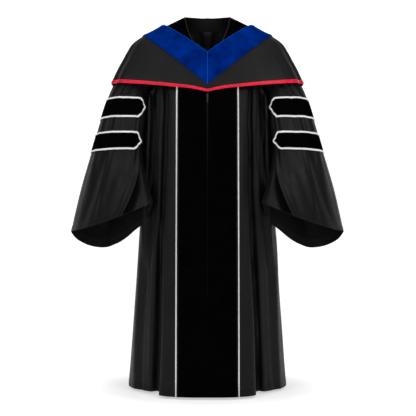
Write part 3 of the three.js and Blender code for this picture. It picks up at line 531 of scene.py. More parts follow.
class Nodes:
    """A short way to add linked shader nodes."""

    def __init__(self, name):
        self.material = bpy.data.materials.new(name)
        self.material.use_nodes = True
        self.tree = self.material.node_tree
        self.shader = self.tree.nodes["Principled BSDF"]
        self.place = self.add("ShaderNodeTexCoord").outputs["Object"]

    def add(self, kind, values=None, **settings):
        node = self.tree.nodes.new(kind)
        for key, value in settings.items():
            setattr(node, key, value)
        for key, value in (values or {}).items():
            if isinstance(value, bpy.types.NodeSocket):
                self.tree.links.new(value, node.inputs[key])
            else:
                node.inputs[key].default_value = value
        return node

    def link(self, output, name):
        self.tree.links.new(output, self.shader.inputs[name])

    def set(self, **values):
        for key, value in values.items():
            self.shader.inputs[key.replace("_", " ")].default_value = value

    def noise(self, scale, detail=3.0, roughness=0.5):
        values = {"Vector": self.place, "Scale": scale, "Detail": detail, "Roughness": roughness}
        return self.add("ShaderNodeTexNoise", values).outputs["Fac"]

    def colour(self, value, *stops):
        """The base colour, from the first stop's to the second's over their range of the value."""
        node = self.add("ShaderNodeValToRGB", {"Fac": value})
        for element, (position, colour) in zip(node.color_ramp.elements, stops):
            element.position = position
            element.color = rgba(*colour)
        self.link(node.outputs["Color"], "Base Color")

    def roughness(self, value, low, high):
        """Roughness between two numbers, over the value's middle range."""
        values = {"Value": value, "From Min": 0.3, "From Max": 0.7, "To Min": low, "To Max": high}
        self.link(self.add("ShaderNodeMapRange", values).outputs["Result"], "Roughness")

    def weave(self, size):
        """Threads over and under, from two crossed waves, size in metres."""
        waves = []
        for direction in ("X", "Z"):
            values = {"Vector": self.place, "Scale": 0.5 / size, "Distortion": 0.0}
            wave = self.add("ShaderNodeTexWave", values, wave_type="BANDS", bands_direction=direction)
            waves.append(wave.outputs["Fac"])
        return self.add("ShaderNodeMath", {0: waves[0], 1: waves[1]}, operation="MAXIMUM").outputs[0]

    def relief(self, height, strength, distance, after=None):
        values = {"Height": height, "Strength": strength, "Distance": distance}
        if after is not None:
            values["Normal"] = after
        return self.add("ShaderNodeBump", values).outputs["Normal"]


def cloth_material(name, dark, light, rough=0.52):
    nodes = Nodes(name)
    nodes.colour(nodes.noise(9.0, 4.0), (0.3, dark), (0.7, light))
    nodes.roughness(nodes.noise(40.0), rough - 0.06, rough + 0.06)
    crumple = nodes.relief(nodes.noise(55.0, 5.0, 0.6), 0.25, 0.0012)
    fine = nodes.relief(nodes.noise(900.0, 2.0), 0.15, 0.0003, crumple)
    threads = nodes.relief(nodes.weave(0.0012), 0.2, 0.0002, fine)
    nodes.link(threads, "Normal")
    nodes.set(Sheen_Weight=0.008, Sheen_Roughness=0.4, Specular_IOR_Level=0.16)
    nodes.shader.inputs["Sheen Tint"].default_value = rgba(0.75, 0.75, 0.8)
    return nodes.material


def velvet_material(name, dark, light, tint, sheen):
    nodes = Nodes(name)
    nodes.colour(nodes.noise(17.0, 5.0, 0.62), (0.3, dark), (0.72, light))
    nodes.set(Roughness=0.95, Specular_IOR_Level=0.0, Sheen_Weight=sheen, Sheen_Roughness=0.32)
    nodes.shader.inputs["Sheen Tint"].default_value = rgba(*tint)
    brushed = nodes.relief(nodes.noise(38.0, 5.0, 0.65), 0.3, 0.0015)
    pile = nodes.relief(nodes.noise(1600.0, 2.0), 0.35, 0.0004, brushed)
    nodes.link(pile, "Normal")
    return nodes.material


def satin_material():
    nodes = Nodes("red satin")
    nodes.colour(nodes.noise(20.0, 3.0), (0.3, (0.52, 0.001, 0.02)), (0.7, (0.8, 0.002, 0.034)))
    nodes.roughness(nodes.noise(60.0), 0.3, 0.42)
    nodes.set(Specular_IOR_Level=0.26)
    puckers = nodes.relief(nodes.noise(85.0, 4.0, 0.6), 0.5, 0.002)
    threads = nodes.relief(nodes.weave(0.0006), 0.12, 0.0001, puckers)
    nodes.link(threads, "Normal")
    return nodes.material


def cord_material():
    nodes = Nodes("white cord")
    nodes.colour(nodes.noise(160.0, 3.0), (0.25, (0.66, 0.66, 0.68)), (0.7, (0.88, 0.88, 0.88)))
    nodes.set(Roughness=0.62, Sheen_Weight=0.25, Sheen_Roughness=0.4, Specular_IOR_Level=0.4)
    fibres = nodes.add("ShaderNodeTexWave", {"Vector": nodes.place, "Scale": 900.0, "Distortion": 3.0},
                       wave_type="BANDS", bands_direction="DIAGONAL")
    nodes.link(nodes.relief(fibres.outputs["Fac"], 0.25, 0.0002), "Normal")
    return nodes.material


def tape_material():
    nodes = Nodes("zip tape")
    dark, light = (0.0012, 0.0012, 0.0013), (0.0024, 0.0024, 0.0026)
    nodes.colour(nodes.noise(120.0, 3.0), (0.3, dark), (0.7, light))
    nodes.set(Roughness=0.85, Specular_IOR_Level=0.12)
    nodes.link(nodes.relief(nodes.weave(0.0007), 0.4, 0.0002), "Normal")
    return nodes.material


def teeth_material():
    nodes = Nodes("zip teeth")
    nodes.colour(nodes.noise(300.0, 2.0), (0.3, (0.003, 0.003, 0.0032)), (0.7, (0.006, 0.006, 0.0065)))
    nodes.roughness(nodes.noise(500.0), 0.4, 0.52)
    nodes.set(Specular_IOR_Level=0.1)
    return nodes.material


def metal_material():
    nodes = Nodes("dark metal")
    wear = nodes.noise(260.0, 5.0, 0.65)
    nodes.colour(wear, (0.35, (0.016, 0.016, 0.018)), (0.72, (0.045, 0.045, 0.048)))
    nodes.roughness(nodes.noise(700.0, 4.0), 0.28, 0.45)
    nodes.link(nodes.relief(nodes.noise(1500.0, 2.0), 0.1, 0.0001), "Normal")
    nodes.set(Metallic=1.0)
    return nodes.material


gown_cloth = (cloth_material("gown cloth", (0.0026, 0.0024, 0.003), (0.0044, 0.004, 0.0048)), "gown_cloth")
# The cape's cloth is the gown cloth painted lighter: painted light where the cape's top faces the lamps.
cape_cloth_painted_lighter = (cloth_material("cape cloth", (0.0036, 0.0033, 0.004), (0.0056, 0.0051, 0.006)), "gown_cloth")
thread = (cloth_material("black thread", (0.02, 0.02, 0.022), (0.03, 0.03, 0.032), rough=0.5), "gown_cloth")
black = velvet_material(
    "black velvet", (0.0007, 0.0007, 0.0008), (0.0014, 0.0014, 0.0016), (0.5, 0.5, 0.55), 0.003
)
blue = velvet_material("blue velvet", (0, 0.007, 0.085), (0, 0.024, 0.225), (0, 0.3, 1), 0.3)
# A lighter blue velvet for thin rolls along the hood band's edges: a painted highlight of the velvet's sheen.
edge = velvet_material("velvet edge", (0, 0.03, 0.2), (0.002, 0.08, 0.42), (0.2, 0.5, 1), 0.5)
black_velvet, blue_velvet, velvet_painted_highlight = (black, "black_velvet"), (blue, "blue_velvet"), (edge, "blue_velvet")
red_satin = (satin_material(), "red_satin")
white_cord = (cord_material(), "white_braid")
zip_tape = (tape_material(), "zip_tape")
zip_teeth = (teeth_material(), "zip_tape")
dark_metal = metal_material()


# The armhole and the fronts


def armhole(degrees, side):
    """The armhole seam: 0 is the shoulder tip, 90 the front, 180 the underarm, -90 the back."""
    tip, underarm = np.array(SHOULDER_TIP, float), np.array(UNDERARM, float)
    centre = (tip + underarm) / 2
    across = np.array(ARMHOLE_FRONT if degrees >= 0 else ARMHOLE_BACK, float) - centre
    angle = math.radians(degrees)
    point = centre + (tip - centre) * math.cos(angle) + across * abs(math.sin(angle))
    return point * (side, 1, 1)


def opening_half(z):
    return float(between(OPENING_GAP, "z", "half", z))


def front_plan(z, side):
    """The plan of a front at one height below the underarm, a point for each fold."""
    plan = []
    for i, fold in enumerate(FRONT_FOLDS):
        near = math.exp(-(((i - PLEAT_CREST - 1) / 2) ** 2))
        drifts = side > 0 and BRAID_EDGE < i < SIDE_SEAM
        drift = [place * near if drifts else 0 for place in LEFT_PLEAT_DRIFT]
        levels = [
            dict(z=CHEST_Z, at=(fold["chest"][0] + drift[0], fold["chest"][1])),
            dict(z=CUFF_Z, at=(fold["cuff"][0] + drift[1], fold["cuff"][1])),
            dict(z=HEM_Z, at=(fold["hem"][0] + drift[2], fold["hem"][1])),
        ]
        x, y = between(levels, "z", "at", z)
        plan.append((x + SWELL_SHARES[i] * float(between(SIDE_SWELL, "z", "out", z)), y))
    return np.array(plan)


def front_upper_row(row, side):
    start = np.array([max(row["x"], opening_half(row["z"])) * side, row["y"], row["z"]], float)
    end = armhole(row["armhole"], side)
    plan = front_plan(CHEST_Z, side)
    braid_x, pleat_x, seam_x = (FRONT_FOLDS[i]["chest"][0] for i in (BRAID_EDGE, PLEAT_CREST, SIDE_SEAM))
    braid_share = min(0.86, braid_x / np.linalg.norm(end - start))
    points = []
    for x, y in plan:
        beyond = lerp(braid_share, 1, (x - braid_x) / (seam_x - braid_x))
        share = float(clamp(x / braid_x * braid_share if x <= braid_x else beyond))
        point = lerp(start, end, share)
        bow = row["bow"] * share * (1 - share)
        fold = end[1] + (y - plan[-1][1]) * (row["y"] - end[1]) / (plan[0][1] - plan[-1][1])
        point[1] = lerp(point[1] - 4 * bow, fold - bow, row["chest"])
        drawn_in = (seam_x - abs(end[0])) * float(clamp((x - pleat_x) / (seam_x - pleat_x))) ** 2
        if x > 0:
            point[0] = side * lerp(abs(point[0]), x - drawn_in, row["chest"])
        points.append(point)
    return points


ROW_STEPS = 12
COLUMN_STEPS = 8


def front_grid(side):
    rows = [front_upper_row(row, side) for row in FRONT_YOKE_ROWS]
    for i in range(HEM_ROWS + 1):
        z = lerp(CHEST_Z, HEM_Z, i / HEM_ROWS)
        row = [[x * side, y, z] for x, y in front_plan(z, side)]
        row[0][0] = opening_half(z) * side
        rows.append(row)
    return smooth_columns(smooth_rows(np.array(rows), ROW_STEPS), COLUMN_STEPS)


def pressed_hem(above, stitch, width=3.5, fold=0.6):
    """How a hem stands out by its height above the edge: pressed in at its stitches, thick below."""
    return -0.7 * bump((above - stitch) / width) + fold * ease((stitch - above) / 6)


def front_surface(side):
    """The front's fine points and normals, with the small creases of the panels beyond the braid."""
    grid = front_grid(side)
    normals = normals_of(grid, side=-side)
    x, z = grid[..., 0] * side, grid[..., 2]
    column = np.arange(grid.shape[1]) / COLUMN_STEPS
    free = ease((column - BRAID_EDGE - 0.2) / 0.8)[None, :]
    mirrored = [dict(crease, x0=crease["x0"] + 3, x1=crease["x1"] - 4) for crease in FRONT_CREASES]
    out = creased(x, z, FRONT_CREASES if side > 0 else mirrored) * free
    out = out + wander(x, z, 3 + side, 70, 0.8) * free
    pull = 0.8 * np.sin(x / 7.3 + 2 * np.sin(x / 31)) * bump((z - HEM_Z - HEM_STITCH) / 26) * free
    grid = grid + normals * (out + pressed_hem(z - HEM_Z, HEM_STITCH) + pull)[..., None]
    return grid, normals_of(grid, side=-side)


def on_surface(surface, rows, columns, closed=False):
    """Points and normals of a surface at fractional rows and columns."""
    return [sample(part, rows, columns, closed) for part in surface]


def hem_stitches(name, grid, normals):
    """The hem's stitches, along the places of a grid's columns at one height."""
    rows = [np.interp(-HEM_Z - HEM_STITCH, -column, np.arange(len(column))) for column in grid[..., 2].T]
    stitching(name, *on_surface((grid, normals), rows, np.arange(len(rows))))


def sheet_piece(name, surface, thickness, finish, node, closed=False):
    """A cloth shell that stands for a node, whose imported part is hidden."""
    piece = shell(name, *surface, thickness, finish, closed)
    if node:
        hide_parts(node)


def rolled(columns, width_mm, edge_mm, roll):
    """The height of a band with rolled edges over its cloth, across its width."""
    across = columns * width_mm
    near = np.minimum(across, width_mm - across)
    return roll * bump((near - edge_mm) / edge_mm) - 0.9 * bump(near / (edge_mm * 0.35))


fronts = {}
for name, side in SIDES:
    grid, normals = front_surface(side)
    fronts[name] = (grid, normals)
    node = f"front_{name}"
    sheet_piece(f"cloth_{node}", (grid, normals), CLOTH, gown_cloth, node)

    last = BAND_EDGE * COLUMN_STEPS + 1
    band, out = grid[:, :last], normals[:, :last]
    share = np.linspace(0, 1, last)
    lift = 0.3 + VELVET + rolled(share, 102, 3, 0.6)
    surface = band + out * lift[None, :, None]
    sheet_piece(
        f"pile_band_{name}", (surface, normals_of(surface, side=-side)), VELVET, black_velvet,
        f"velvet_band_{name}",
    )

    edge = np.full(len(grid), (BAND_EDGE + BRAID_EDGE) / 2 * COLUMN_STEPS)
    path, up = map(evened, on_surface(fronts[name], np.arange(len(grid)), edge))
    piece = twisted_cord(f"cord_front_{name}", path, unit(up), CORD_WIDTH, CORD_HEIGHT, CORD_PITCH)
    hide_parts(f"front_braid_{name}")

    start = BRAID_EDGE * COLUMN_STEPS + 2
    hem_stitches(f"hem_stitches_{name}", grid[:, start:], normals[:, start:])


# The back and the yoke


def flute_out(t, depth):
    place = t * FLUTES
    shares = np.array(FLUTE_SHARES)[np.minimum(FLUTES - 1, np.floor(place).astype(int))]
    return depth * shares * np.sin(np.pi * place) ** 2


def yoke_seam(t, side):
    end = armhole(-50, side)
    angle = math.radians(90 * t)
    y = lerp(end[1], BACK_YOKE_ROWS[0]["y"], math.sin(angle))
    z = lerp(end[2], BACK_YOKE_ROWS[0]["z"], float(ease(t)))
    return np.array([end[0] * math.cos(angle), y, z])


BACK_FINE = 96


def back_half(side):
    shares = np.arange(BACK_FINE + 1) / BACK_FINE
    angle = np.radians(90 * shares)
    rows = []
    for i, row in enumerate(BACK_YOKE_ROWS):
        if i == 0:
            rows.append(np.array([yoke_seam(t, side) for t in shares]))
            continue
        end = armhole(-row["armhole"], side)
        x = end[0] * np.cos(angle)
        y = lerp(end[1], row["y"], np.sin(angle)) + flute_out(shares, row["flute"])
        rows.append(np.stack([x, y, lerp(end[2], row["z"], ease(shares))], axis=1))
    for i in range(HEM_ROWS + 1):
        z = lerp(CHEST_Z, HEM_Z, i / HEM_ROWS)
        width = front_plan(z, side)[SIDE_SEAM][0]
        depth = float(between(BACK_LEVELS, "z", "depth", z))
        out = flute_out(shares, float(between(BACK_LEVELS, "z", "flute", z)))
        x = side * (width + out * shares) * np.cos(angle)
        rows.append(np.stack([x, (depth + out) * np.sin(angle), np.full(len(shares), z)], axis=1))
    return smooth_rows(np.array(rows), ROW_STEPS)


def back_surface():
    left, right = back_half(1), back_half(-1)
    grid = np.concatenate([left, right[:, -2::-1]], axis=1)
    normals = normals_of(grid, side=-1)
    x, z = grid[..., 0], grid[..., 2]
    drop = BACK_YOKE_ROWS[0]["z"] - z
    inner = 1 - bump((np.abs(x) - 260) / 60)
    out = creased(x, z, BACK_CREASES) + wander(x, z, 11, 80, 1.2)
    # Gathers below the yoke, deep at the seam and gone by the shoulder blades.
    gathers = np.sin(x / 2.9 + 1.6 * np.sin(x / 17)) * np.exp(-np.maximum(drop, 0) / 90)
    gathers = gathers * ease((np.abs(x) - 30) / 12) * ease((170 - np.abs(x)) / 20)
    # The box pleat at the centre back, with a fold each side of it.
    pleat = bump(x / 17) * -4 + bump((np.abs(x) - 27) / 7) * 6
    pleat = pleat * np.exp(-np.maximum(drop, 0) / 300) * ease(drop / 6)
    out = (out * inner + 1.6 * gathers + pleat) * ease(drop / 10)
    grid = grid + normals * (out + pressed_hem(z - HEM_Z, HEM_STITCH))[..., None]
    return grid, normals_of(grid, side=-1)


back = back_surface()
sheet_piece("cloth_back", back, CLOTH, gown_cloth, "back")
hem_stitches("hem_stitches_back", *back)


def yoke_surface():
    halves = []
    for side in (1, -1):
        lines = []
        for column in YOKE_COLUMNS:
            neck = np.array([column["x"] * side, column["y"], column["z"]], float)
            if "armhole" in column:
                edge = armhole(column["armhole"], side)
            else:
                edge = yoke_seam(column["seam"], side)
            lines.append([lerp(neck, edge, k / 3) for k in range(4)])
        halves.append(lines)
    grid = np.array(halves[0] + halves[1][-2::-1])
    grid = smooth_columns(smooth_rows(grid, COLUMN_STEPS), COLUMN_STEPS)
    return grid, normals_of(grid)


yoke_points, yoke_out = yoke_surface()
sheet_piece("cloth_yoke", (yoke_points, yoke_out), CLOTH, gown_cloth, "yoke")
NEAR_EDGE = -5  # the yoke's column of stitches, a little in from its edge
stitching("yoke_stitches", yoke_points[:, NEAR_EDGE], yoke_out[:, NEAR_EDGE])


# The sleeves


def sleeve_ring(key):
    names = ("outer", "front", "inner", "back", "round", "gather", "fold", "crest")
    return {name: between(SLEEVE_RINGS, "key", name, key) for name in names}


def ring_points(ring, degrees):
    """Points of a ring at angles from the outer point round by the front."""
    angle = np.radians(degrees)
    centre = (ring["outer"] + ring["inner"]) / 2
    cosine, sine = np.cos(angle), np.abs(np.sin(angle))
    is_front = degrees <= 180
    rounds = ring["round"]
    inner = np.where(is_front, rounds[0], rounds[1])
    outer = np.where(is_front, 2.0, rounds[2])
    power = 2 / np.where(cosine >= 0, outer, inner)
    across = np.where(is_front[:, None], ring["front"] - centre, ring["back"] - centre)
    along = ring["outer"] - centre
    points = centre + along * (np.sign(cosine) * np.abs(cosine) ** power)[:, None]
    return points + across * (sine**power)[:, None], centre


def sleeve_columns(ring):
    """The angle and the fold's share at each whole column of a ring, and at the first one again."""
    crest = float(ring["crest"])
    valley = crest + FOLD_WIDTH
    front = np.arange(FRONT_COLUMNS + 1) / FRONT_COLUMNS
    flap = np.arange(FLAP_COLUMNS) / FLAP_COLUMNS
    back = np.arange(BACK_COLUMNS + 1) / BACK_COLUMNS
    degrees = np.concatenate([crest * front, [crest - 1], lerp(valley, 180, flap), 180 + 180 * back])
    folds = np.concatenate([0.45 * front**4, [-0.7], [-1.3, -0.6, -0.25, -0.08], np.zeros(len(back))])
    return smooth_rows(np.stack([degrees, folds], axis=1), FINE)[:-1].T


COLUMN_COUNT = FRONT_COLUMNS + 2 + FLAP_COLUMNS + BACK_COLUMNS
FINE = 6
HEAD_KEY = SHOULDER_TIP[2]
END_KEY = -775.0
SLEEVE_STEP = 5.0
SLEEVE_ROWS = int((HEAD_KEY - END_KEY) / SLEEVE_STEP)


def key_row(key):
    return (HEAD_KEY - np.asarray(key, float)) / (HEAD_KEY - END_KEY) * SLEEVE_ROWS


def sleeve_surface(side, gather=1.0):
    columns = np.arange(COLUMN_COUNT * FINE) / FINE
    keys = np.linspace(HEAD_KEY, END_KEY, SLEEVE_ROWS + 1)
    rows = []
    for key in keys:
        ring = sleeve_ring(key)
        degrees, folds = sleeve_columns(ring)
        if key > HEAD_KEY - 1:
            turned = np.where(degrees > 180, degrees - 360, degrees)
            rows.append(np.array([armhole(float(d), 1) for d in turned]))
            continue
        points, middle = ring_points(ring, degrees)
        out = unit(points - middle)
        uneven = 1 + 0.35 * np.sin(columns * 0.9 + 1) + 0.2 * np.sin(columns * 2.3)
        shift = 0.25 * np.sin(columns * 1.1 + key / 160)
        wave = 0.75 * np.cos(np.pi * (columns + shift)) * uneven * float(ring["gather"]) * gather
        head = float(np.exp((key - HEAD_KEY) / 60)) * gather
        small = 0.9 * np.sin(2 * np.pi * columns * 1.5 + np.sin(columns)) * head
        points = points + out * (wave + small + folds * float(ring["fold"]))[:, None]
        # The inner side wraps a little behind the body.
        points[:, 0] -= 11 * bump((degrees - 205) / 16) * bump((key + 400) / 130)
        rows.append(points)
    grid = np.array(rows)
    grid[..., 0] *= side
    normals = normals_of(grid, closed=True, side=side)
    around, height = np.meshgrid(columns, keys)
    start = ease((HEAD_KEY - height) / 40)
    out = creased(around, height, SLEEVE_CREASES) * start * gather
    out = out + wander(around * 12, height, 21 + side, 60, 1.0) * start
    out = out + pressed_hem(height - END_KEY, CUFF_STITCH, 4, 0.5)
    grid = grid + normals * out[..., None]
    return grid, normals_of(grid, closed=True, side=side)


def bar_places(bar, inset, tip_inset):
    """Columns along a pointed bar, and half its height and its middle key there.

    Its outline is moved in by an inset in millimetres, and at its tips by a number of columns.
    """
    top, middle, low = bar["keys"]
    tips = [BAR_FRONT + BAR_TIP - tip_inset, BAR_BACK + BAR_TIP - tip_inset]
    corners = [bar["corner"] - 0.35 * tip_inset, BAR_BACK - 0.35 * tip_inset]
    columns = np.linspace(-tips[1], tips[0], 150)
    height = (top - low) / 2 - inset
    for places, tip, corner in zip((columns, -columns), tips, corners):
        height = height * (1 - 0.98 * clamp((places - corner) / (tip - corner)))
    return columns, height, middle


for name, side in SIDES:
    grid, normals = sleeve_surface(side)
    node = f"sleeve_{name}"
    sheet_piece(
        f"cloth_{node}", (grid, normals), CLOTH, gown_cloth, node,
        closed=True,
    )
    columns = np.arange(grid.shape[1])
    rows = np.full(len(columns), key_row(END_KEY + CUFF_STITCH))
    stitching(f"cuff_stitches_{name}", *on_surface((grid, normals), rows, columns, True), closed=True)

    smooth = sleeve_surface(side, gather=0.55)
    for bar in BARS:
        columns, height, middle = bar_places(bar, 6.4, 0.62)
        keys = middle + np.linspace(1, -1, 13)[:, None] * height
        around = np.broadcast_to(columns, keys.shape)
        points, out = on_surface(smooth, key_row(keys), around * FINE, True)
        surface = points + out * (1.6 + VELVET)
        sheet_piece(
            f"pile_bar_{bar['name']}_{name}", (surface, normals_of(surface, side=side)), VELVET,
            black_velvet, f"sleeve_bar_{bar['name']}_{name}",
        )

        columns, height, middle = bar_places(bar, BAR_CORD_WIDTH / 2, 0.26)
        edge_columns = np.concatenate([columns, columns[::-1]])
        edge_keys = np.concatenate([middle + height, (middle - height)[::-1]])
        points, out = on_surface(smooth, key_row(edge_keys), edge_columns * FINE, True)
        piece = twisted_cord(
            f"cord_bar_{bar['name']}_{name}", points + out * 1.4, out,
            BAR_CORD_WIDTH, BAR_CORD_HEIGHT, BAR_CORD_PITCH, closed=True,
        )
        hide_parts(f"bar_braid_{bar['name']}_{name}")


# The hood cape


def cape_point(theta, z):
    angle = math.radians(theta)
    square = 2 / float(between(CAPE_LEVELS, "z", "square", z))
    depth = float(between(CAPE_LEVELS, "z", "front" if theta <= 90 else "back", z))
    x = float(between(CAPE_LEVELS, "z", "side", z)) * abs(math.sin(angle)) ** square
    y = -math.copysign(1, math.cos(angle)) * depth * abs(math.cos(angle)) ** square
    return np.array([x, y, z])


def height_where(theta, line_at):
    """The height on a column of the cape where a line given over x is met."""
    z = line_at(0)
    for _ in range(18):
        z = lerp(z, line_at(cape_point(theta, z)[0]), 0.5)
    return z


def back_share(theta):
    return float(ease((theta - 90) / 90))


def hood_edge(theta, front_point, shoulder, centre_back):
    if theta > 90:
        return lerp(shoulder[1], centre_back, back_share(theta))
    return height_where(theta, lambda x: lerp(front_point, shoulder[1], min(1, x / shoulder[0])))


def hem_height(theta):
    if theta > 90:
        return lerp(HOOD["hem_side"], HOOD["hem_back"], back_share(theta))
    level_x, side_x = HOOD["hem_level_x"], HOOD["hem_side_x"]

    def line(x):
        dip = (HOOD["hem_point"] - HOOD["hem_level"]) * (1 - float(clamp(x / level_x))) ** 1.4
        rise = float(clamp((x - level_x) / (side_x - level_x)))
        return lerp(HOOD["hem_level"], HOOD["hem_side"], rise) + dip

    return height_where(theta, line)


CAPE_COLUMNS = 110
BAND_ROWS = 12
CAPE_ROWS = 24

# Soft folds of the cape, by angle from the centre front, half width and how far they stand out.
CAPE_FOLDS = table(
    "theta width out",
    (58, 5, 3.2),
    (69, 4, -3),
    (79, 5, 3),
    (100, 6, -3),
    (112, 6, 4),
    (128, 6, -3),
    (144, 7, 4),
    (162, 7, -3),
)


def painted_highlight_roll(name, points, normals):
    """A thin roll along a line of the blue velvet, in a lighter blue: a painted highlight of the velvet's
    sheen.
    """
    _, (line, up) = resampled(points, 2.5, normals)
    up = unit(up)
    across = np.cross(unit(np.gradient(line, axis=0)), up)
    rings = rings_round(line - up * 0.3, across, up, 1.3, 1.0, 8)
    return add_mesh(name, *merged([tube_parts(rings)]), velvet_painted_highlight, sharp=80)


def cape_surface():
    """Heights from the hood's inner edge to the cape's hem, and the points on each column."""
    grid = []
    for k in range(CAPE_COLUMNS + 1):
        theta = 180 * k / CAPE_COLUMNS
        inner = hood_edge(theta, HOOD["v_point"], HOOD["shoulder_inner"], HOOD["back_inner"])
        band = hood_edge(theta, HOOD["band_point"], HOOD["shoulder_outer"], HOOD["back_outer"])
        hem = hem_height(theta)
        heights = [lerp(inner, band, i / BAND_ROWS) for i in range(BAND_ROWS)]
        heights += [lerp(band, hem, i / CAPE_ROWS) for i in range(CAPE_ROWS + 1)]
        grid.append([cape_point(theta, z) for z in heights])
    return np.array(grid).swapaxes(0, 1)


cape_left = cape_surface()
cape_thetas = np.linspace(0, 180, CAPE_COLUMNS + 1)
cape_out = normals_of(cape_left, side=-1)
cape_out[:, 0] = unit(cape_out[:, 0] * (0, 1, 1))
cape_out[:, -1] = unit(cape_out[:, -1] * (0, 1, 1))
row_share = clamp((np.arange(BAND_ROWS + CAPE_ROWS + 1) - BAND_ROWS * 0.5) / CAPE_ROWS)[:, None]
ridge = sum(f["out"] * bump((cape_thetas - f["theta"]) / f["width"]) for f in CAPE_FOLDS)[None, :]
cape_left = cape_left + cape_out * (ridge * ease(row_share))[..., None]

for name, side in SIDES:
    grid = cape_left * (side, 1, 1)
    out = cape_out * (side, 1, 1)
    wave = wander(cape_thetas[None, :] * 4, grid[..., 2], 31 + side, 60, 0.8)
    grid = grid + out * (wave * ease(row_share))[..., None]
    grid[:, 0, 0] = grid[:, -1, 0] = side * 0.1
    node = f"hood_cape_{name}"
    sheet_piece(f"cloth_cape_{name}", (grid, out), CLOTH, cape_cloth_painted_lighter, node)

    rows = BAND_ROWS + 1
    share = np.linspace(0, 1, rows)
    lift = 1.2 + VELVET + rolled(share, 60, 4, 1.4)
    seam = -2.4 * bump(np.arange(CAPE_COLUMNS + 1) / 1.2)
    surface = grid[:rows] + out[:rows] * (lift[:, None] + seam[None, :])[..., None]
    sheet_piece(
        f"pile_hood_{name}", (surface, normals_of(surface, side=-side)), VELVET, blue_velvet,
        f"hood_band_{name}",
    )
    # Painted highlight: thin lighter blue rolls along the band's folded edge and its centre seam, where the
    # velvet's sheen catches the light.
    front = CAPE_COLUMNS // 2
    painted_highlight_roll(f"painted_highlight_edge_hood_{name}", surface[0, : front + 1], out[0, : front + 1])
    if side > 0:
        painted_highlight_roll("painted_highlight_seam_hood", surface[:, 0] + out[:rows, 0] * 1.6, out[:rows, 0])

    # The satin binding, a soft roll puckered by its stitches.
    down = unit(grid[-1] - grid[-4])
    down[0] = unit(down[0] * (0, 1, 1))
    places, (edge, normal, down) = resampled(grid[-1], 2.2, out[-1], down)
    normal, down = unit(normal), unit(down)
    rng = random.Random(5 + side)
    phase = [rng.uniform(0, 6.28) for _ in range(3)]
    pucker = 0.45 * np.sin(places / 2.1 + phase[0]) + 0.35 * np.sin(places / 3.7 + phase[1])
    pucker = pucker + 0.3 * np.sin(places / 9 + phase[2])
    width = lerp(BINDING["front"], BINDING["side"], clamp(np.abs(edge[:, 0]) / HOOD["hem_side_x"]))
    around = np.linspace(0, 2 * np.pi, 15)[:-1]
    drop = (0.5 - 0.5 * np.cos(around))[None, :] * width[:, None]
    thick = (BINDING["thick"] + pucker)[:, None] * np.sin(around)[None, :] * 0.5
    rings = edge[:, None] + down[:, None] * (drop - 1)[..., None]
    rings = rings + normal[:, None] * (thick - CLOTH / 2)[..., None]
    piece = add_mesh(f"satin_binding_{name}", *merged([tube_parts(rings)]), red_satin, sharp=80)
    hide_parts(f"hood_binding_{name}")


# The neckline's rolled edge


def neck_edge():
    lines = []
    for name in ("left", "right"):
        grid, out = fronts[name]
        rows = np.arange(0, 4 * ROW_STEPS + 1)
        lines.append((grid[rows, 0], out[rows, 0], grid[rows, 3]))
    middle = (yoke_points[:, 0], yoke_out[:, 0], yoke_points[:, 3])
    pieces = [tuple(part[::-1] for part in lines[0]), middle, lines[1]]
    return [np.concatenate([piece[k] for piece in pieces]) for k in range(3)]


edge, out, inside = neck_edge()
_, (edge, out, inside) = resampled(edge, 3, out, inside)
out = unit(out)
away = unit(edge - inside)
rings = rings_round(edge + away * 1.4 - out * (CLOTH / 2), away, out, 2.1, 1.9, 10)
piece = add_mesh("cloth_neck_binding", *merged([tube_parts(rings)]), gown_cloth, sharp=80)
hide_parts("neck_binding")


# The zip

opening = fronts["left"][0][:, 0]
zip_heights = np.arange(ZIP["top"], ZIP["end"], -3.0)
zip_depths = np.interp(-zip_heights, -opening[:, 2], opening[:, 1]) + 2.6
for name, side in SIDES:
    across = np.array([0.7, 4, 8, ZIP["tape_half"]]) * side
    lines = [np.stack([np.full(len(zip_heights), x), zip_depths, zip_heights], axis=1) for x in across]
    grid = np.stack(lines, axis=1)
    sheet_piece(
        f"zip_tape_{name}", (grid, normals_of(grid, side=-side)), 0.6, zip_tape,
        "zip" if side > 0 else None,
    )
TOOTH = dict(width=4.2, shift=0.5, back=0.1, front=1.7, height=2.2)
BOX_FACES = [(0, 2, 3, 1), (4, 5, 7, 6), (0, 1, 5, 4), (2, 6, 7, 3), (0, 4, 6, 2), (1, 3, 7, 5)]
vertices, faces = [], []
for k, (z, y) in enumerate(zip(zip_heights, zip_depths)):
    x = TOOTH["shift"] if k % 2 else -TOOTH["shift"]
    xs = (x - TOOTH["width"] / 2, x + TOOTH["width"] / 2)
    ys = (y - TOOTH["front"], y - TOOTH["back"])
    zs = (z - TOOTH["height"] / 2, z + TOOTH["height"] / 2)
    faces += [[len(vertices) + corner for corner in face] for face in BOX_FACES]
    vertices += [(xs[c & 1], ys[c >> 1 & 1], zs[c >> 2 & 1]) for c in range(8)]
add_mesh("zip_teeth", np.array(vertices), faces, zip_teeth, sharp=30)

for node in ("zip_slider", "zip_pull"):
    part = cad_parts[node]
    part.data.materials.clear()
    part.data.materials.append(dark_metal)


# The floor, the lights and the camera

FLOOR_Z = HEM_Z - 9
FLOOR = dict(half=14000, front=-14000, back=5200, bend=2500, top=9000, steps=16)
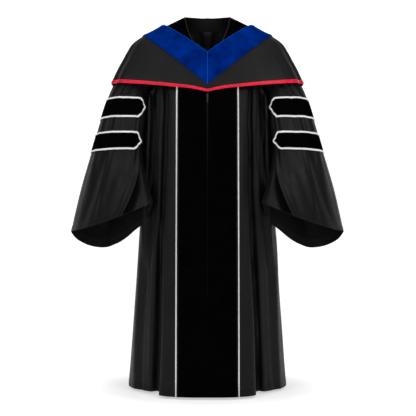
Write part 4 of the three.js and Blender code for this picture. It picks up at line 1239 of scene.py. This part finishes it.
# How bright the floor glows at the hem and away from it, and where it changes, in shares of the hem's plan,
# whose half width and half depth (in metres) are given as a scale. The dimmer glow at the hem is a painted
# shadow.
FLOOR_GLOW_AND_PAINTED_SHADOW = {"From Min": 0.95, "From Max": 1.7, "To Min": 0.52, "To Max": 0.78}
HEM_SCALE = (1 / 0.32, 1 / 0.26, 0)
LIGHTS = table(
    "name place target size power",
    ("right side", (-1.9, -2.5, 1.3), (0, 0, -0.7), (1.2, 1.6), 36),
    ("left side", (1.9, -2.5, 1.5), (0, 0, -0.7), (1.2, 1.6), 47),
    ("front", (0.2, -3.6, 0.9), (0, 0, -0.8), (1.4, 1.0), 14),
    ("top", (0.0, -0.1, 2.2), (0, 0, -0.6), (2.0, 1.0), 26),
)
WORLD_STRENGTH = 0.06
CAMERA = dict(place=(0.002, -3.2, -0.69), sensor=36, pixel=3.7, pixels=416)


def stage_material():
    nodes = Nodes("pale floor")
    nodes.shader.inputs["Base Color"].default_value = rgba(0.7, 0.7, 0.7)
    nodes.shader.inputs["Emission Color"].default_value = rgba(1, 1, 1)
    nodes.set(Roughness=0.9, Specular_IOR_Level=0.1)
    values = {"Vector": nodes.place, "Location": (0, 0, 0), "Scale": HEM_SCALE}
    scaled = nodes.add("ShaderNodeMapping", values, vector_type="POINT")
    away = nodes.add("ShaderNodeVectorMath", {0: scaled.outputs["Vector"]}, operation="LENGTH")
    values = dict(FLOOR_GLOW_AND_PAINTED_SHADOW, Value=away.outputs["Value"])
    # The floor glows less near the hem: a painted soft shadow round it.
    painted_shadow_glow = nodes.add("ShaderNodeMapRange", values, interpolation_type="SMOOTHSTEP")
    nodes.link(painted_shadow_glow.outputs["Result"], "Emission Strength")
    return nodes.material


def add_stage():
    """A floor that bends up into a wall behind the object."""
    back, bend = FLOOR["back"], FLOOR["bend"]
    turn = np.linspace(0, math.pi / 2, FLOOR["steps"])
    profile = [(FLOOR["front"], 0)]
    profile += [(back + bend * math.sin(a), bend * (1 - math.cos(a))) for a in turn]
    profile.append((back + bend, FLOOR["top"]))
    vertices = [(x, y, FLOOR_Z + z) for y, z in profile for x in (-FLOOR["half"], FLOOR["half"])]
    faces = [[2 * k, 2 * k + 1, 2 * k + 3, 2 * k + 2] for k in range(len(profile) - 1)]
    mesh = bpy.data.meshes.new("floor")
    mesh.from_pydata((np.array(vertices) * MM).tolist(), [], faces)
    mesh.polygons.foreach_set("use_smooth", [True] * len(mesh.polygons))
    floor = bpy.data.objects.new("floor", mesh)
    bpy.context.scene.collection.objects.link(floor)
    mesh.materials.append(stage_material())


def add_light(name, place, target, size, power):
    light = bpy.data.lights.new(name, "AREA")
    light.shape = "RECTANGLE"
    light.size, light.size_y = size
    light.energy = power
    lamp = bpy.data.objects.new(name, light)
    bpy.context.scene.collection.objects.link(lamp)
    lamp.location = place
    x, y, z = np.array(target) - np.array(place)
    lamp.rotation_euler = (math.atan2(math.hypot(x, y), -z), 0, math.atan2(-x, y))


def add_world():
    world = bpy.data.worlds.new("studio")
    world.use_nodes = True
    background = world.node_tree.nodes["Background"]
    background.inputs["Color"].default_value = rgba(1, 1, 1)
    background.inputs["Strength"].default_value = WORLD_STRENGTH
    bpy.context.scene.world = world


def add_camera():
    camera = bpy.data.cameras.new("camera")
    camera.sensor_width = CAMERA["sensor"]
    seen = CAMERA["pixel"] * CAMERA["pixels"] * MM  # the width in view at the origin's distance
    camera.lens = CAMERA["sensor"] * -CAMERA["place"][1] / seen
    camera.clip_end = 100
    view = bpy.data.objects.new("camera", camera)
    bpy.context.scene.collection.objects.link(view)
    view.location = CAMERA["place"]
    view.rotation_euler = (math.radians(90), 0, 0)
    bpy.context.scene.camera = view


bpy.context.scene.view_settings.view_transform = "Standard"
add_stage()
add_world()
for light in LIGHTS:
    add_light(**light)
add_camera()
